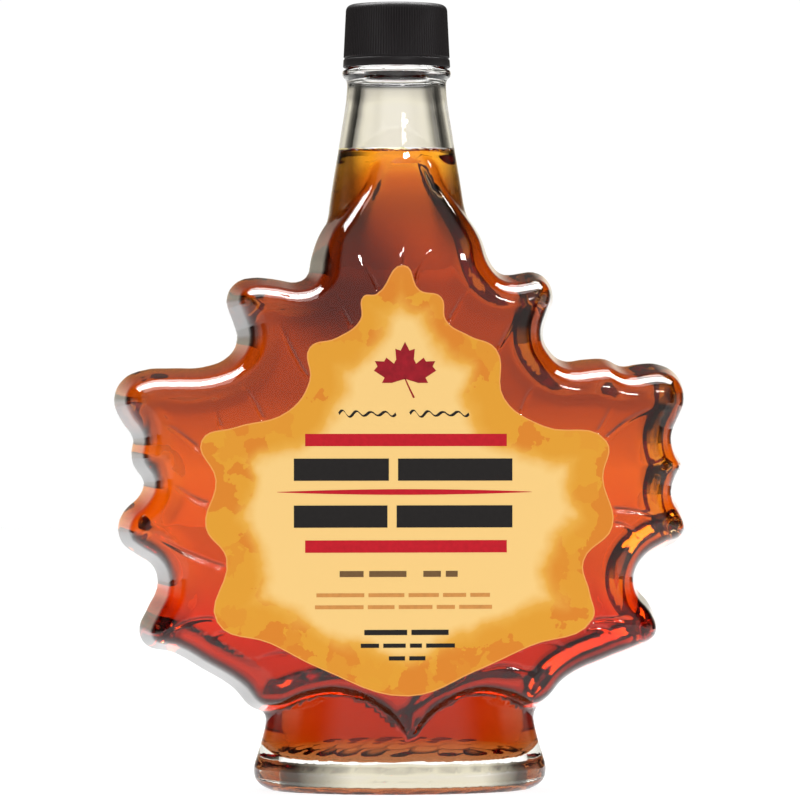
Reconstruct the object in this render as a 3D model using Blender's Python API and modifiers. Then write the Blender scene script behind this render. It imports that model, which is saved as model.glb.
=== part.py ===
"""Leaf-shaped whisky bottle: clear glass body on an oval foot, drink, screw cap and front label.

Metres, +Z up. The origin is the middle of the foot's flat underside, and the label faces -Y.
The leaf stands in the XZ plane and is thick in Y; its rim is the widest at the middle of its depth.
"""

import math

import bmesh
import bpy
from mathutils import Matrix, Vector

MM = 0.001

# Leaf body, seen from the front: width comes from the outline, thickness from these
HALF_DEPTH = 28.3 * MM
WALL_DEPTH = 19.8 * MM
WALL_INSET = 2.6 * MM
SEAM_ROUNDING = 0.15 * MM
FACE_INSET = 9.8 * MM
GLASS_WALL = 3.8 * MM

# The front and back slope back towards the neck between these heights
SLOPE_START = 146.0 * MM
SLOPE_END = 188.0 * MM
NECK_SHARE = 0.54
SLOPE_STEPS = 10

# Neck, from the shoulders up to the mouth under the cap; the rows are (radius, height) in mm
NECK_MIDDLE = -1.0 * MM
NECK_CONE = ((15.0, 195.0), (15.8, 190.0), (17.1, 184.0), (18.4, 175.5), (20.0, 164.4), (21.5, 152.0))
NECK_CONE_FOOT = 146.0 * MM
NECK_END = ((14.4, 204.6), (14.3, 203.6), (14.5, 200.0), (15.1, 195.5), (16.0, 190.0), (16.9, 184.0))
NECK_END_FOOT = 183.0 * MM
BORE = ((9.8, 226.6), (9.8, 201.0), (11.0, 195.5), (12.2, 190.0), (12.9, 186.4))
BORE_FOOT = 185.9 * MM
FINISH_RADIUS = 12.9 * MM
FINISH_EDGE = 0.5 * MM
MOUTH_HEIGHT = 224.6 * MM
BEAD_RADIUS = 15.7 * MM
BEAD_HEIGHT = 206.9 * MM
BEAD_HALF = 1.3 * MM
BEAD_EDGE = 0.7 * MM

# Foot
FOOT_HALF_WIDTH = 42.4 * MM
FOOT_WAIST = 38.6 * MM
FOOT_WAIST_HEIGHT = 20.5 * MM
FOOT_SHOULDER_HEIGHT = 27.0 * MM
FOOT_TOP = 40.0 * MM
FOOT_EDGE = 5.0 * MM
FOOT_FLATTENING = 0.62
FOOT_FLOOR = 6.6 * MM

# Drink
FILL_HEIGHT = 183.8 * MM
TOUCH_GAP = 0.3 * MM

# Cap
CAP_TOP = 226.8 * MM
CAP_BOTTOM = 208.6 * MM
CAP_RADIUS = 15.5 * MM
CAP_TOP_RADIUS = 14.6 * MM
CAP_EDGE = 1.6 * MM
CAP_BAND = 2.5 * MM
CAP_SKIN = 1.3 * MM
RIB_COUNT = 72
RIB_DEPTH = 0.28 * MM

# Label
LABEL_THICKNESS = 0.2 * MM

# Working resolution
VOXEL = 1.7 * MM
GLASS_TRIANGLES = 4900
CAVITY_TRIANGLES = 2600

# Edge of the leaf in mm as (x, z), from the left shoulder down to the foot
LEFT_EDGE = (
    (-23.2, 160.6),
    (-25.9, 153.0),
    (-27.0, 148.2),
    (-29.6, 146.6),
    (-36.5, 147.4),
    (-43.0, 147.8),
    (-47.6, 146.3),
    (-50.3, 141.4),
    (-48.6, 135.5),
    (-47.2, 129.9),
    (-49.5, 125.3),
    (-56.7, 122.1),
    (-66.0, 121.7),
    (-74.0, 121.2),
    (-80.2, 118.3),
    (-82.7, 112.0),
    (-80.5, 106.4),
    (-77.1, 101.0),
    (-77.8, 97.3),
    (-76.8, 93.0),
    (-74.1, 88.9),
    (-75.4, 84.9),
    (-79.7, 80.6),
    (-81.5, 76.2),
    (-80.4, 71.4),
    (-76.2, 68.0),
    (-71.4, 64.6),
    (-70.2, 59.0),
    (-73.0, 52.6),
    (-75.5, 46.0),
    (-73.3, 41.7),
    (-66.0, 39.9),
    (-58.0, 35.4),
    (-48.4, 29.5),
    (-42.7, 23.6),
    (-36.0, 22.6),
    (-27.0, 25.4),
    (-19.0, 26.0),
    (-9.0, 21.6),
)
STEM_TIP = (1.0, 12.4)
# The same edge from the foot up to the right shoulder
RIGHT_EDGE = (
    (11.0, 21.6),
    (20.0, 26.0),
    (28.0, 25.4),
    (37.0, 22.8),
    (42.5, 25.6),
    (47.2, 30.9),
    (58.9, 36.4),
    (68.0, 40.0),
    (73.0, 42.6),
    (74.8, 46.4),
    (72.8, 52.9),
    (68.2, 59.4),
    (69.4, 64.8),
    (75.3, 69.1),
    (81.0, 71.7),
    (82.8, 76.2),
    (81.2, 81.0),
    (79.0, 85.4),
    (80.0, 89.7),
    (81.8, 93.6),
    (79.8, 97.7),
    (79.0, 101.9),
    (81.0, 106.9),
    (82.7, 112.0),
    (80.4, 119.8),
    (75.0, 122.9),
    (69.0, 122.9),
    (64.3, 122.2),
    (59.5, 124.4),
    (53.5, 124.3),
    (47.0, 123.9),
    (42.8, 127.5),
    (41.4, 131.0),
    (42.8, 136.8),
    (44.4, 141.6),
    (42.5, 147.4),
    (38.6, 149.6),
    (34.2, 149.1),
    (29.8, 148.8),
    (26.8, 151.2),
    (23.0, 160.2),
)
# Tongue by which the flat faces run up into the neck
TONGUE = (
    (17.6, 168.0),
    (13.0, 174.5),
    (10.0, 182.0),
    (0.0, 188.5),
    (-10.0, 182.0),
    (-13.0, 174.5),
    (-17.6, 168.0),
)
EDGE_STEPS = 4

# Outline of the label in mm as (x, z): the leaf again, plainer and smaller
LABEL_EDGE = (
    (-1.1, 150.8),
    (-8.9, 142.6),
    (-12.7, 141.9),
    (-13.6, 135.2),
    (-20.4, 130.1),
    (-28.0, 127.3),
    (-28.0, 117.9),
    (-34.0, 109.4),
    (-49.0, 104.8),
    (-58.6, 101.0),
    (-54.6, 89.8),
    (-57.4, 76.4),
    (-51.6, 67.7),
    (-54.2, 49.6),
    (-39.1, 43.5),
    (-24.8, 36.3),
    (0.2, 28.4),
    (19.7, 35.6),
    (34.9, 42.5),
    (52.8, 50.1),
    (52.0, 57.6),
    (50.2, 66.6),
    (58.5, 76.5),
    (55.8, 90.3),
    (56.8, 100.8),
    (38.6, 105.2),
    (27.5, 113.0),
    (25.2, 127.0),
    (17.5, 130.8),
    (11.0, 135.0),
    (9.5, 141.8),
    (3.3, 143.8),
)

# Colours: base colour, roughness, metallic, transmission
FINISHES = {
    "clear_glass": ((0.93, 0.94, 0.90, 1.0), 0.03, 0.0, 1.0),
    "amber_drink": ((0.72, 0.20, 0.05, 1.0), 0.02, 0.0, 0.85),
    "black_plastic": ((0.022, 0.020, 0.021, 1.0), 0.45, 0.0, 0.0),
    "label_paper": ((0.90, 0.62, 0.24, 1.0), 0.40, 0.0, 0.0),
}


def clear_scene():
    """Removes everything that the scene starts with."""
    for found in list(bpy.data.objects):
        bpy.data.objects.remove(found, do_unlink=True)


def make_collection(name):
    """A new collection in the scene."""
    made = bpy.data.collections.new(name)
    bpy.context.scene.collection.children.link(made)
    return made


def make_finish(name):
    """A Principled material with the values that FINISHES gives."""
    colour, roughness, metallic, transmission = FINISHES[name]
    finish = bpy.data.materials.new(name)
    finish.use_nodes = True
    shader = finish.node_tree.nodes["Principled BSDF"]
    shader.inputs["Base Color"].default_value = colour
    shader.inputs["Roughness"].default_value = roughness
    shader.inputs["Metallic"].default_value = metallic
    shader.inputs["Transmission Weight"].default_value = transmission
    finish.diffuse_color = colour
    return finish


def object_from(name, form, collection):
    """An object in the collection that holds a bmesh's geometry."""
    mesh = bpy.data.meshes.new(name)
    bmesh.ops.recalc_face_normals(form, faces=form.faces)
    form.to_mesh(mesh)
    form.free()
    made = bpy.data.objects.new(name, mesh)
    collection.objects.link(made)
    return made


def smooth_outline(points, steps):
    """Points along one smooth closed line through the given (x, z) points, in metres."""
    curve = bpy.data.curves.new("outline", "CURVE")
    curve.resolution_u = steps
    spline = curve.splines.new("BEZIER")
    spline.bezier_points.add(len(points) - 1)
    for knot, (x, z) in zip(spline.bezier_points, points):
        knot.co = (x * MM, z * MM, 0.0)
        knot.handle_left_type = "AUTO"
        knot.handle_right_type = "AUTO"
    spline.use_cyclic_u = True
    guide = bpy.data.objects.new("outline", curve)
    bpy.context.scene.collection.objects.link(guide)
    graph = bpy.context.evaluated_depsgraph_get()
    mesh = bpy.data.meshes.new_from_object(guide.evaluated_get(graph))
    line = [Vector((vertex.co.x, vertex.co.y)) for vertex in mesh.vertices]
    bpy.data.objects.remove(guide)
    bpy.data.curves.remove(curve)
    bpy.data.meshes.remove(mesh)
    return line


def edge_distance(point, line):
    """How far a point lies from a closed line."""
    nearest = math.inf
    for start, end in zip(line, line[1:] + line[:1]):
        along = end - start
        share = (point - start).dot(along) / along.length_squared
        foot = start + along * min(1.0, max(0.0, share))
        nearest = min(nearest, (point - foot).length)
    return nearest


def inset_outline(line, inset):
    """The line moved inward, with as many points; those that a tight tip has no room for close up."""
    if inset <= 0.0:
        return list(line)
    moved = []
    for index, point in enumerate(line):
        along = line[(index + 1) % len(line)] - line[index - 1]
        inward = Vector((-along.y, along.x)).normalized()
        moved.append(point + inward * inset)
    kept = [edge_distance(point, line) > inset * 0.985 for point in moved]
    count = len(line)
    for index in range(count):
        if kept[index]:
            continue
        before = next(k for k in range(1, count) if kept[index - k])
        after = next(k for k in range(1, count) if kept[(index + k) % count])
        start = moved[index - before]
        end = moved[(index + after) % count]
        moved[index] = start.lerp(end, before / (before + after))
    return moved


def slope_share(height):
    """How much of its depth the leaf keeps at a height, less towards the neck."""
    share = min(1.0, max(0.0, (height - SLOPE_START) / (SLOPE_END - SLOPE_START)))
    eased = share * share * (3.0 - 2.0 * share)
    return 1.0 - (1.0 - NECK_SHARE) * (0.45 * share * share + 0.55 * eased)


def depth_stations(wall):
    """(y, inset) pairs from the middle of the depth to the face, for the surface a wall inside."""
    steepness = WALL_DEPTH**2 / (WALL_INSET**2 + 2.0 * SEAM_ROUNDING * WALL_INSET)
    pairs = [(0.0, 0.0)]
    for share in (0.25, 0.6, 1.0):
        depth = WALL_DEPTH * share
        pairs.append((depth, math.sqrt(SEAM_ROUNDING**2 + depth**2 / steepness) - SEAM_ROUNDING))
    lean = WALL_DEPTH / (steepness * (WALL_INSET + SEAM_ROUNDING))
    turn_inset = WALL_INSET + lean * (HALF_DEPTH - WALL_DEPTH)
    for share in (0.25, 0.5, 0.75, 1.0):
        start_weight = (1.0 - share) ** 2
        turn_weight = 2.0 * share * (1.0 - share)
        end_weight = share**2
        depth = WALL_DEPTH * start_weight + HALF_DEPTH * (turn_weight + end_weight)
        inset = WALL_INSET * start_weight + turn_inset * turn_weight + FACE_INSET * end_weight
        pairs.append((depth, inset))
    inner = (HALF_DEPTH - wall) / HALF_DEPTH
    return [(depth * inner, inset + wall) for depth, inset in pairs]


def leaf_form(wall):
    """The leaf as a loft through its outline at each depth, closed by its two faces."""
    line = smooth_outline(LEFT_EDGE + (STEM_TIP,) + RIGHT_EDGE + TONGUE, EDGE_STEPS)
    half = depth_stations(wall)
    stations = [(-depth, inset) for depth, inset in reversed(half)] + half[1:]
    form = bmesh.new()
    rings = []
    for depth, inset in stations:
        ring = []
        for point in inset_outline(line, inset):
            ring.append(form.verts.new((point.x, depth, point.y)))
        rings.append(ring)
    for ring, following in zip(rings, rings[1:]):
        for index in range(len(ring)):
            after = (index + 1) % len(ring)
            form.faces.new((ring[index], ring[after], following[after], following[index]))
    form.faces.new(rings[0])
    form.faces.new(rings[-1])
    slope_to_neck(form)
    return form


def slope_to_neck(form):
    """Thins the leaf towards the neck, cut across first so that its flat faces can bend."""
    for step in range(SLOPE_STEPS):
        height = SLOPE_START + (SLOPE_END - SLOPE_START) * step / SLOPE_STEPS
        everything = form.verts[:] + form.edges[:] + form.faces[:]
        place = Vector((0.0, 0.0, height))
        bmesh.ops.bisect_plane(form, geom=everything, plane_co=place, plane_no=(0.0, 0.0, 1.0))
    for vertex in form.verts:
        vertex.co.y *= slope_share(vertex.co.z)


def turned(name, profile, collection, steps=48, flattening=1.0, middle=0.0):
    """A turned solid from (radius, height) pairs that run down its outer side.

    It is made oval by flattening, and its axis stands at middle along x.
    """
    form = bmesh.new()
    line = [form.verts.new((radius, 0.0, height)) for radius, height in profile]
    for start, end in zip(line, line[1:]):
        form.edges.new((start, end))
    mesh = bpy.data.meshes.new(name)
    form.to_mesh(mesh)
    form.free()
    made = bpy.data.objects.new(name, mesh)
    collection.objects.link(made)
    screw = made.modifiers.new("Turn", "SCREW")
    screw.steps = steps
    screw.render_steps = steps
    screw.use_merge_vertices = True
    screw.merge_threshold = 0.00001
    apply_modifiers(made)
    oval = Matrix.Diagonal((1.0, flattening, 1.0, 1.0))
    made.data.transform(Matrix.Translation((middle, 0.0, 0.0)) @ oval)
    return made


def apply_modifiers(made):
    """Replaces an object's mesh by what its modifiers make of it."""
    graph = bpy.context.evaluated_depsgraph_get()
    mesh = bpy.data.meshes.new_from_object(made.evaluated_get(graph))
    made.modifiers.clear()
    former = made.data
    made.data = mesh
    bpy.data.meshes.remove(former)


def combine(base, other, operation):
    """Applies one exact Boolean and removes the second object."""
    boolean = base.modifiers.new("Combine", "BOOLEAN")
    boolean.operation = operation
    boolean.object = other
    boolean.solver = "EXACT"
    boolean.use_self = operation == "UNION"
    apply_modifiers(base)
    bpy.data.objects.remove(other)


def neck_profile(rows, wall, foot):
    """A turned profile in metres from rows of (radius, height) in mm, less a wall, closed on the axis."""
    profile = [(0.0, rows[0][1] * MM)]
    profile += [(radius * MM - wall, height * MM) for radius, height in rows]
    profile.append((0.0, foot))
    return profile


def foot_profile(wall, bottom):
    """The foot below the leaf, flared towards the ground with a rounded lower edge."""
    edge = FOOT_EDGE - min(wall, 2.0 * MM)
    width = FOOT_HALF_WIDTH - wall
    rows = [
        (0.0, FOOT_TOP),
        (FOOT_WAIST - 6.0 * MM - wall, FOOT_TOP),
        (FOOT_WAIST - 1.0 * MM - wall, FOOT_SHOULDER_HEIGHT),
        (FOOT_WAIST - wall, FOOT_WAIST_HEIGHT),
        (width - 1.8 * MM, bottom + 9.0 * MM),
        (width, bottom + edge),
    ]
    for share in (0.3, 0.6, 0.85):
        angle = share * math.pi / 2
        radius = width - edge * (1.0 - math.cos(angle))
        rows.append((radius, bottom + edge * (1.0 - math.sin(angle))))
    rows.append((width - edge * 1.2, bottom))
    rows.append((0.0, bottom))
    return rows


def body_form(name, wall, bottom, triangles, helpers):
    """The bottle's outer shape, or its cavity, as one smooth closed mesh of about that many triangles."""
    body = object_from(name, leaf_form(wall), helpers)
    cone = neck_profile(NECK_CONE, wall, NECK_CONE_FOOT)
    neck = turned("neck", cone, helpers, middle=NECK_MIDDLE)
    foot = turned("foot", foot_profile(wall, bottom), helpers, 64, FOOT_FLATTENING)
    joined = bmesh.new()
    for piece in (body, neck, foot):
        joined.from_mesh(piece.data)
    bpy.data.objects.remove(neck)
    bpy.data.objects.remove(foot)
    joined.to_mesh(body.data)
    joined.free()
    remesh = body.modifiers.new("Remesh", "REMESH")
    remesh.mode = "VOXEL"
    remesh.voxel_size = VOXEL
    smooth = body.modifiers.new("Smooth", "SMOOTH")
    smooth.factor = 0.5
    smooth.iterations = 4
    apply_modifiers(body)
    body.data.calc_loop_triangles()
    decimate = body.modifiers.new("Decimate", "DECIMATE")
    decimate.ratio = triangles / len(body.data.loop_triangles)
    apply_modifiers(body)
    return body


def half_space(name, height, above, helpers):
    """A large box that fills everything above, or below, a height."""
    size = 0.4
    form = bmesh.new()
    bmesh.ops.create_cube(form, size=size)
    middle = height + size / 2 if above else height - size / 2
    bmesh.ops.translate(form, verts=form.verts, vec=(0.0, 0.0, middle))
    return object_from(name, form, helpers)


def upper_neck_profile():
    """The straight end of the neck with its bead ring and the plain finish that the cap covers."""
    bead_top = BEAD_HEIGHT + BEAD_HALF
    return [
        (0.0, MOUTH_HEIGHT),
        (FINISH_RADIUS - FINISH_EDGE, MOUTH_HEIGHT),
        (FINISH_RADIUS, MOUTH_HEIGHT - FINISH_EDGE),
        (FINISH_RADIUS, bead_top + 0.1 * MM),
        (BEAD_RADIUS - BEAD_EDGE, bead_top),
        (BEAD_RADIUS, bead_top - BEAD_EDGE),
        (BEAD_RADIUS, bead_top - 2.0 * BEAD_EDGE),
        *neck_profile(NECK_END, 0.0, NECK_END_FOOT)[1:],
    ]


def make_bottle(parts, helpers):
    """The glass: outer shape with its neck, less the cavity and the bore, flat where it stands."""
    bottle = body_form("glass_bottle", 0.0, -2.0 * MM, GLASS_TRIANGLES, helpers)
    combine(bottle, half_space("ground", 0.0, False, helpers), "DIFFERENCE")
    combine(bottle, turned("finish", upper_neck_profile(), helpers, middle=NECK_MIDDLE), "UNION")
    cavity = body_form("cavity", GLASS_WALL, FOOT_FLOOR, CAVITY_TRIANGLES, helpers)
    combine(bottle, cavity, "DIFFERENCE")
    bore = turned("bore", neck_profile(BORE, 0.0, BORE_FOOT), helpers, 40, middle=NECK_MIDDLE)
    combine(bottle, bore, "DIFFERENCE")
    helpers.objects.unlink(bottle)
    parts.objects.link(bottle)
    bottle.data.materials.append(make_finish("clear_glass"))
    return bottle


def make_drink(parts, helpers):
    """The drink: the cavity's shape a gap inside the glass, level at its top."""
    gap = 2.4 * TOUCH_GAP
    drink = body_form("whisky", GLASS_WALL + gap, FOOT_FLOOR + gap, CAVITY_TRIANGLES, helpers)
    combine(drink, half_space("air", FILL_HEIGHT, True, helpers), "DIFFERENCE")
    helpers.objects.unlink(drink)
    parts.objects.link(drink)
    drink.data.materials.append(make_finish("amber_drink"))
    return drink


def make_cap(parts):
    """The screw cap: a cup with fine upright ribs above a plain band, and a rounded top edge."""
    form = bmesh.new()
    count = 2 * RIB_COUNT
    levels = (
        (0.0, CAP_BOTTOM, 0.0),
        (0.0, CAP_BOTTOM + CAP_BAND, 0.0),
        (0.0, CAP_BOTTOM + CAP_BAND + RIB_DEPTH, 1.0),
        (0.0, CAP_TOP - CAP_EDGE, 1.0),
        (CAP_EDGE, CAP_TOP, 0.0),
    )
    rings = []
    for inset, height, ribs in levels:
        rise = (height - CAP_BOTTOM) / (CAP_TOP - CAP_BOTTOM)
        radius = CAP_RADIUS + (CAP_TOP_RADIUS - CAP_RADIUS) * rise - inset
        ring = []
        for index in range(count):
            angle = 2.0 * math.pi * index / count
            reach = radius - RIB_DEPTH * ribs * (index % 2)
            x = NECK_MIDDLE + reach * math.cos(angle)
            ring.append(form.verts.new((x, reach * math.sin(angle), height)))
        rings.append(ring)
    for ring, following in zip(rings, rings[1:]):
        for index in range(count):
            after = (index + 1) % count
            form.faces.new((ring[index], ring[after], following[after], following[index]))
    form.faces.new(rings[-1])
    form.faces.new(rings[0])
    cap = object_from("screw_cap", form, parts)
    hollow_radius = FINISH_RADIUS + 1.5 * TOUCH_GAP
    hollow = (
        (0.0, CAP_TOP - CAP_SKIN),
        (hollow_radius, CAP_TOP - CAP_SKIN),
        (hollow_radius, CAP_BOTTOM - 1.0 * MM),
        (0.0, CAP_BOTTOM - 1.0 * MM),
    )
    combine(cap, turned("hollow", hollow, parts, 40, middle=NECK_MIDDLE), "DIFFERENCE")
    cap.data.materials.append(make_finish("black_plastic"))
    return cap


def make_label(parts):
    """The label: a thin plate a gap in front of the flat face."""
    curve = bpy.data.curves.new("label", "CURVE")
    curve.dimensions = "2D"
    curve.fill_mode = "BOTH"
    curve.extrude = LABEL_THICKNESS / 2
    spline = curve.splines.new("POLY")
    line = smooth_outline(LABEL_EDGE, 2)
    spline.points.add(len(line) - 1)
    for knot, point in zip(spline.points, line):
        knot.co = (point.x, point.y, 0.0, 1.0)
    spline.use_cyclic_u = True
    guide = bpy.data.objects.new("label_guide", curve)
    parts.objects.link(guide)
    guide.rotation_euler = (math.pi / 2, 0.0, 0.0)
    guide.location = (0.0, -(HALF_DEPTH + 1.2 * TOUCH_GAP + LABEL_THICKNESS / 2), 0.0)
    bpy.context.view_layer.update()
    graph = bpy.context.evaluated_depsgraph_get()
    mesh = bpy.data.meshes.new_from_object(guide.evaluated_get(graph))
    form = bmesh.new()
    form.from_mesh(mesh)
    bmesh.ops.remove_doubles(form, verts=form.verts, dist=0.00001)
    form.transform(guide.matrix_world)
    label = object_from("label", form, parts)
    bpy.data.objects.remove(guide)
    bpy.data.curves.remove(curve)
    bpy.data.meshes.remove(mesh)
    label.data.materials.append(make_finish("label_paper"))
    return label


def shade(made):
    """Smooth shading with sharp edges left crisp."""
    made.data.shade_smooth()
    made.data.set_sharp_from_angle(angle=math.radians(35.0))


def main():
    """Makes the four sub-parts."""
    clear_scene()
    parts = make_collection("whisky_bottle")
    helpers = make_collection("helpers")
    for made in (
        make_bottle(parts, helpers),
        make_drink(parts, helpers),
        make_cap(parts),
        make_label(parts),
    ):
        shade(made)
    bpy.data.collections.remove(helpers)


main()
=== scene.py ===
"""Looks of the leaf-shaped whisky bottle: glass, drink, ribbed cap and label in a white studio.

Sizes inside the classes are in millimetres and become metres when a mesh is made. X is to the
right, Y is the depth with the label at -Y, and Z is up from the floor.
"""

from __future__ import annotations

import logging
import math
from collections.abc import Callable, Mapping, Sequence
from dataclasses import dataclass, field
from enum import Enum
from typing import Protocol

import bmesh
import bpy
import numpy as np
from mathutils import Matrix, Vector, geometry

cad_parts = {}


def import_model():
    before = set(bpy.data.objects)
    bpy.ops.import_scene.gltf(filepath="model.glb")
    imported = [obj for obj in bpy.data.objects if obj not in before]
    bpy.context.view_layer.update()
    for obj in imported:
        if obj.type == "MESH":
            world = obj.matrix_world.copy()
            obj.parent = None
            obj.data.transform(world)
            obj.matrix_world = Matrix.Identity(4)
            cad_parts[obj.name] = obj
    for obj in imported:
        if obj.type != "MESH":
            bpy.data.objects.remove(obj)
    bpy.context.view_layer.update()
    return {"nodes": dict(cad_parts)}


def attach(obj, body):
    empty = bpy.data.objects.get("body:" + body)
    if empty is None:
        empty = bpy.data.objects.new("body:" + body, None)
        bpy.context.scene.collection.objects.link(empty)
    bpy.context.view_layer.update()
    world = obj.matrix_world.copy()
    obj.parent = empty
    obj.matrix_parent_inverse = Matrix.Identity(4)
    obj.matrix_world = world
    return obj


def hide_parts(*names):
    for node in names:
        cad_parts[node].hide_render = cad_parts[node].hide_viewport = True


MM = 0.001
BODY = "root"
MAP_HALF_WIDTH = 90.0
POLISHED = {"Roughness": 0.0, "Transmission Weight": 1.0}

Point = tuple[float, float]
Colour = tuple[float, float, float]
Spot = tuple[float, float, float]
Array = np.ndarray
Socket = bpy.types.NodeSocket

log = logging.getLogger("bottle")


class Skin(Enum):
    """The surfaces that share the bottle's form, by their distance inside the outer one, in mm."""

    OUTSIDE = 0.0
    INSIDE = 3.8
    DRINK = 3.65


def srgb(red: int, green: int, blue: int) -> Colour:
    """The linear colour of an 8-bit screen colour."""
    parts = []
    for value in (red, green, blue):
        share = value / 255.0
        parts.append(share / 12.92 if share <= 0.04045 else ((share + 0.055) / 1.055) ** 2.4)
    return (parts[0], parts[1], parts[2])


# Meshes


def mesh_piece(
    name: str, points: Array, faces: Sequence[Sequence[int]], slot: str, *nodes: str
) -> bpy.types.Object:
    """Makes one smooth-shaded piece that rides on the bottle.

    Args:
        name: The piece's name.
        points: Its points in mm.
        faces: Point numbers of each face.
        slot: The name of a material slot; not used.
        nodes: The CAD nodes that the piece stands for.

    Returns:
        The new object.
    """
    mesh = bpy.data.meshes.new(name)
    mesh.from_pydata((points * MM).tolist(), [], [list(face) for face in faces])
    mesh.validate()
    mesh.shade_smooth()
    piece = bpy.data.objects.new(name, mesh)
    bpy.context.scene.collection.objects.link(piece)
    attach(piece, BODY)
    if nodes:
        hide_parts(*nodes)
    log.info("%s: %d points, %d faces", name, len(points), len(faces))
    return piece


def smooth_line(points: Sequence[Point], steps: int) -> Array:
    """Points along one smooth closed curve.

    Args:
        points: The points that the curve passes through, in mm.
        steps: Points for each stretch between two of them.

    Returns:
        An array of (x, z) rows in mm.
    """
    curve = bpy.data.curves.new("guide", "CURVE")
    curve.resolution_u = steps
    spline = curve.splines.new("BEZIER")
    spline.bezier_points.add(len(points) - 1)
    for knot, (x, z) in zip(spline.bezier_points, points):
        knot.co = (x, z, 0.0)
        knot.handle_left_type = "AUTO"
        knot.handle_right_type = "AUTO"
    spline.use_cyclic_u = True
    guide = bpy.data.objects.new("guide", curve)
    bpy.context.scene.collection.objects.link(guide)
    graph = bpy.context.evaluated_depsgraph_get()
    mesh = bpy.data.meshes.new_from_object(guide.evaluated_get(graph))
    line = np.array([vertex.co[:2] for vertex in mesh.vertices])
    bpy.data.objects.remove(guide)
    bpy.data.curves.remove(curve)
    bpy.data.meshes.remove(mesh)
    return line


def line_distance(x: Array, z: Array, line: Array, closed: bool = True) -> Array:
    """How far each place lies from a line, and negative outside it where the line is closed.

    Args:
        x: Places across, in mm.
        z: Places up, in mm.
        line: (x, z) rows of the line.
        closed: Whether its last point joins its first.

    Returns:
        Distances in mm, of the shape of x.
    """
    nearest = np.full(x.shape, np.inf)
    inside = np.zeros(x.shape, bool)
    ends = np.roll(line, -1, axis=0) if closed else line[1:]
    for (x0, z0), (x1, z1) in zip(line, ends):
        dx, dz = x1 - x0, z1 - z0
        share = ((x - x0) * dx + (z - z0) * dz) / max(dx * dx + dz * dz, 1e-12)
        share = np.clip(share, 0.0, 1.0)
        nearest = np.minimum(nearest, (x - x0 - share * dx) ** 2 + (z - z0 - share * dz) ** 2)
        if closed and dz != 0.0:
            crossed = ((z0 > z) != (z1 > z)) & (x < x0 + (z - z0) * dx / dz)
            inside ^= crossed
    reach = np.sqrt(nearest)
    return np.where(inside, reach, -reach) if closed else reach


def smooth_maximum(first: Array, second: Array, blend: float) -> Array:
    """The larger of two fields, rounded off where they are within blend of each other."""
    near = np.maximum(blend - np.abs(first - second), 0.0) / blend
    return np.maximum(first, second) + near * near * blend * 0.25


def ease(value: Array, start: float, end: float) -> Array:
    """A share that rises smoothly from 0 to 1 while a value goes from start to end."""
    share = np.clip((value - start) / (end - start), 0.0, 1.0)
    return share * share * (3.0 - 2.0 * share)


@dataclass
class FieldMap:
    """A field kept on an even grid and read back smoothly between its nodes."""

    x_low: float
    z_low: float
    step: float
    values: Array

    @classmethod
    def over(
        cls, low: float, high: float, step: float, rule: Callable[[Array, Array], Array]
    ) -> FieldMap:
        """The map of a rule over the bottle's whole width.

        Args:
            low: The lowest height in mm.
            high: The highest.
            step: From one node to the next, in mm.
            rule: Gives the field at places across and up.

        Returns:
            The map.
        """
        across, up = map_places(-MAP_HALF_WIDTH, MAP_HALF_WIDTH, low, high, step)
        return cls(-MAP_HALF_WIDTH, low, step, rule(across, up))

    def blurred(self, reach: float) -> FieldMap:
        """The same field after a Gaussian blur.

        Args:
            reach: Its standard deviation in mm.

        Returns:
            A new map.
        """
        half = int(math.ceil(3.0 * reach / self.step))
        offsets = np.arange(-half, half + 1) * self.step
        weights = np.exp(-0.5 * (offsets / reach) ** 2)
        weights /= weights.sum()
        values = self.values
        for axis in (0, 1):
            pads = [(half, half) if axis == k else (0, 0) for k in (0, 1)]
            wide = np.pad(values, pads, mode="edge")
            count = values.shape[axis]
            shifts = (np.take(wide, np.arange(n, n + count), axis) for n in range(len(weights)))
            values = np.sum([weight * shift for weight, shift in zip(weights, shifts)], axis=0)
        return FieldMap(self.x_low, self.z_low, self.step, values)

    def sample(self, x: Array, z: Array) -> tuple[Array, Array, Array]:
        """The field and its slopes at any places, by cubic interpolation.

        Args:
            x: Places across, in mm.
            z: Places up, in mm.

        Returns:
            The field, its slope across and its slope up.
        """
        across = np.clip((x - self.x_low) / self.step, 1.0, self.values.shape[0] - 3.001)
        up = np.clip((z - self.z_low) / self.step, 1.0, self.values.shape[1] - 3.001)
        i, k = across.astype(int), up.astype(int)
        across_weights, across_slopes = cubic_weights(across - i), cubic_slopes(across - i)
        up_weights, up_slopes = cubic_weights(up - k), cubic_slopes(up - k)
        value, slope_x, slope_z = np.zeros(x.shape), np.zeros(x.shape), np.zeros(x.shape)
        for a in range(4):
            row, row_slope = np.zeros(x.shape), np.zeros(x.shape)
            for b in range(4):
                node = self.values[i + a - 1, k + b - 1]
                row += up_weights[b] * node
                row_slope += up_slopes[b] * node
            value += across_weights[a] * row
            slope_x += across_slopes[a] * row
            slope_z += across_weights[a] * row_slope
        return value, slope_x / self.step, slope_z / self.step

    def read(self, x: Array, z: Array) -> Array:
        """The field at any places."""
        return self.sample(x, z)[0]


def cubic_weights(share: Array) -> tuple[Array, Array, Array, Array]:
    """The weights of a cubic's four nodes, for a share of the way between the middle two."""
    square, cube = share**2, share**3
    return (
        0.5 * (-cube + 2.0 * square - share),
        0.5 * (3.0 * cube - 5.0 * square + 2.0),
        0.5 * (-3.0 * cube + 4.0 * square + share),
        0.5 * (cube - square),
    )


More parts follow.
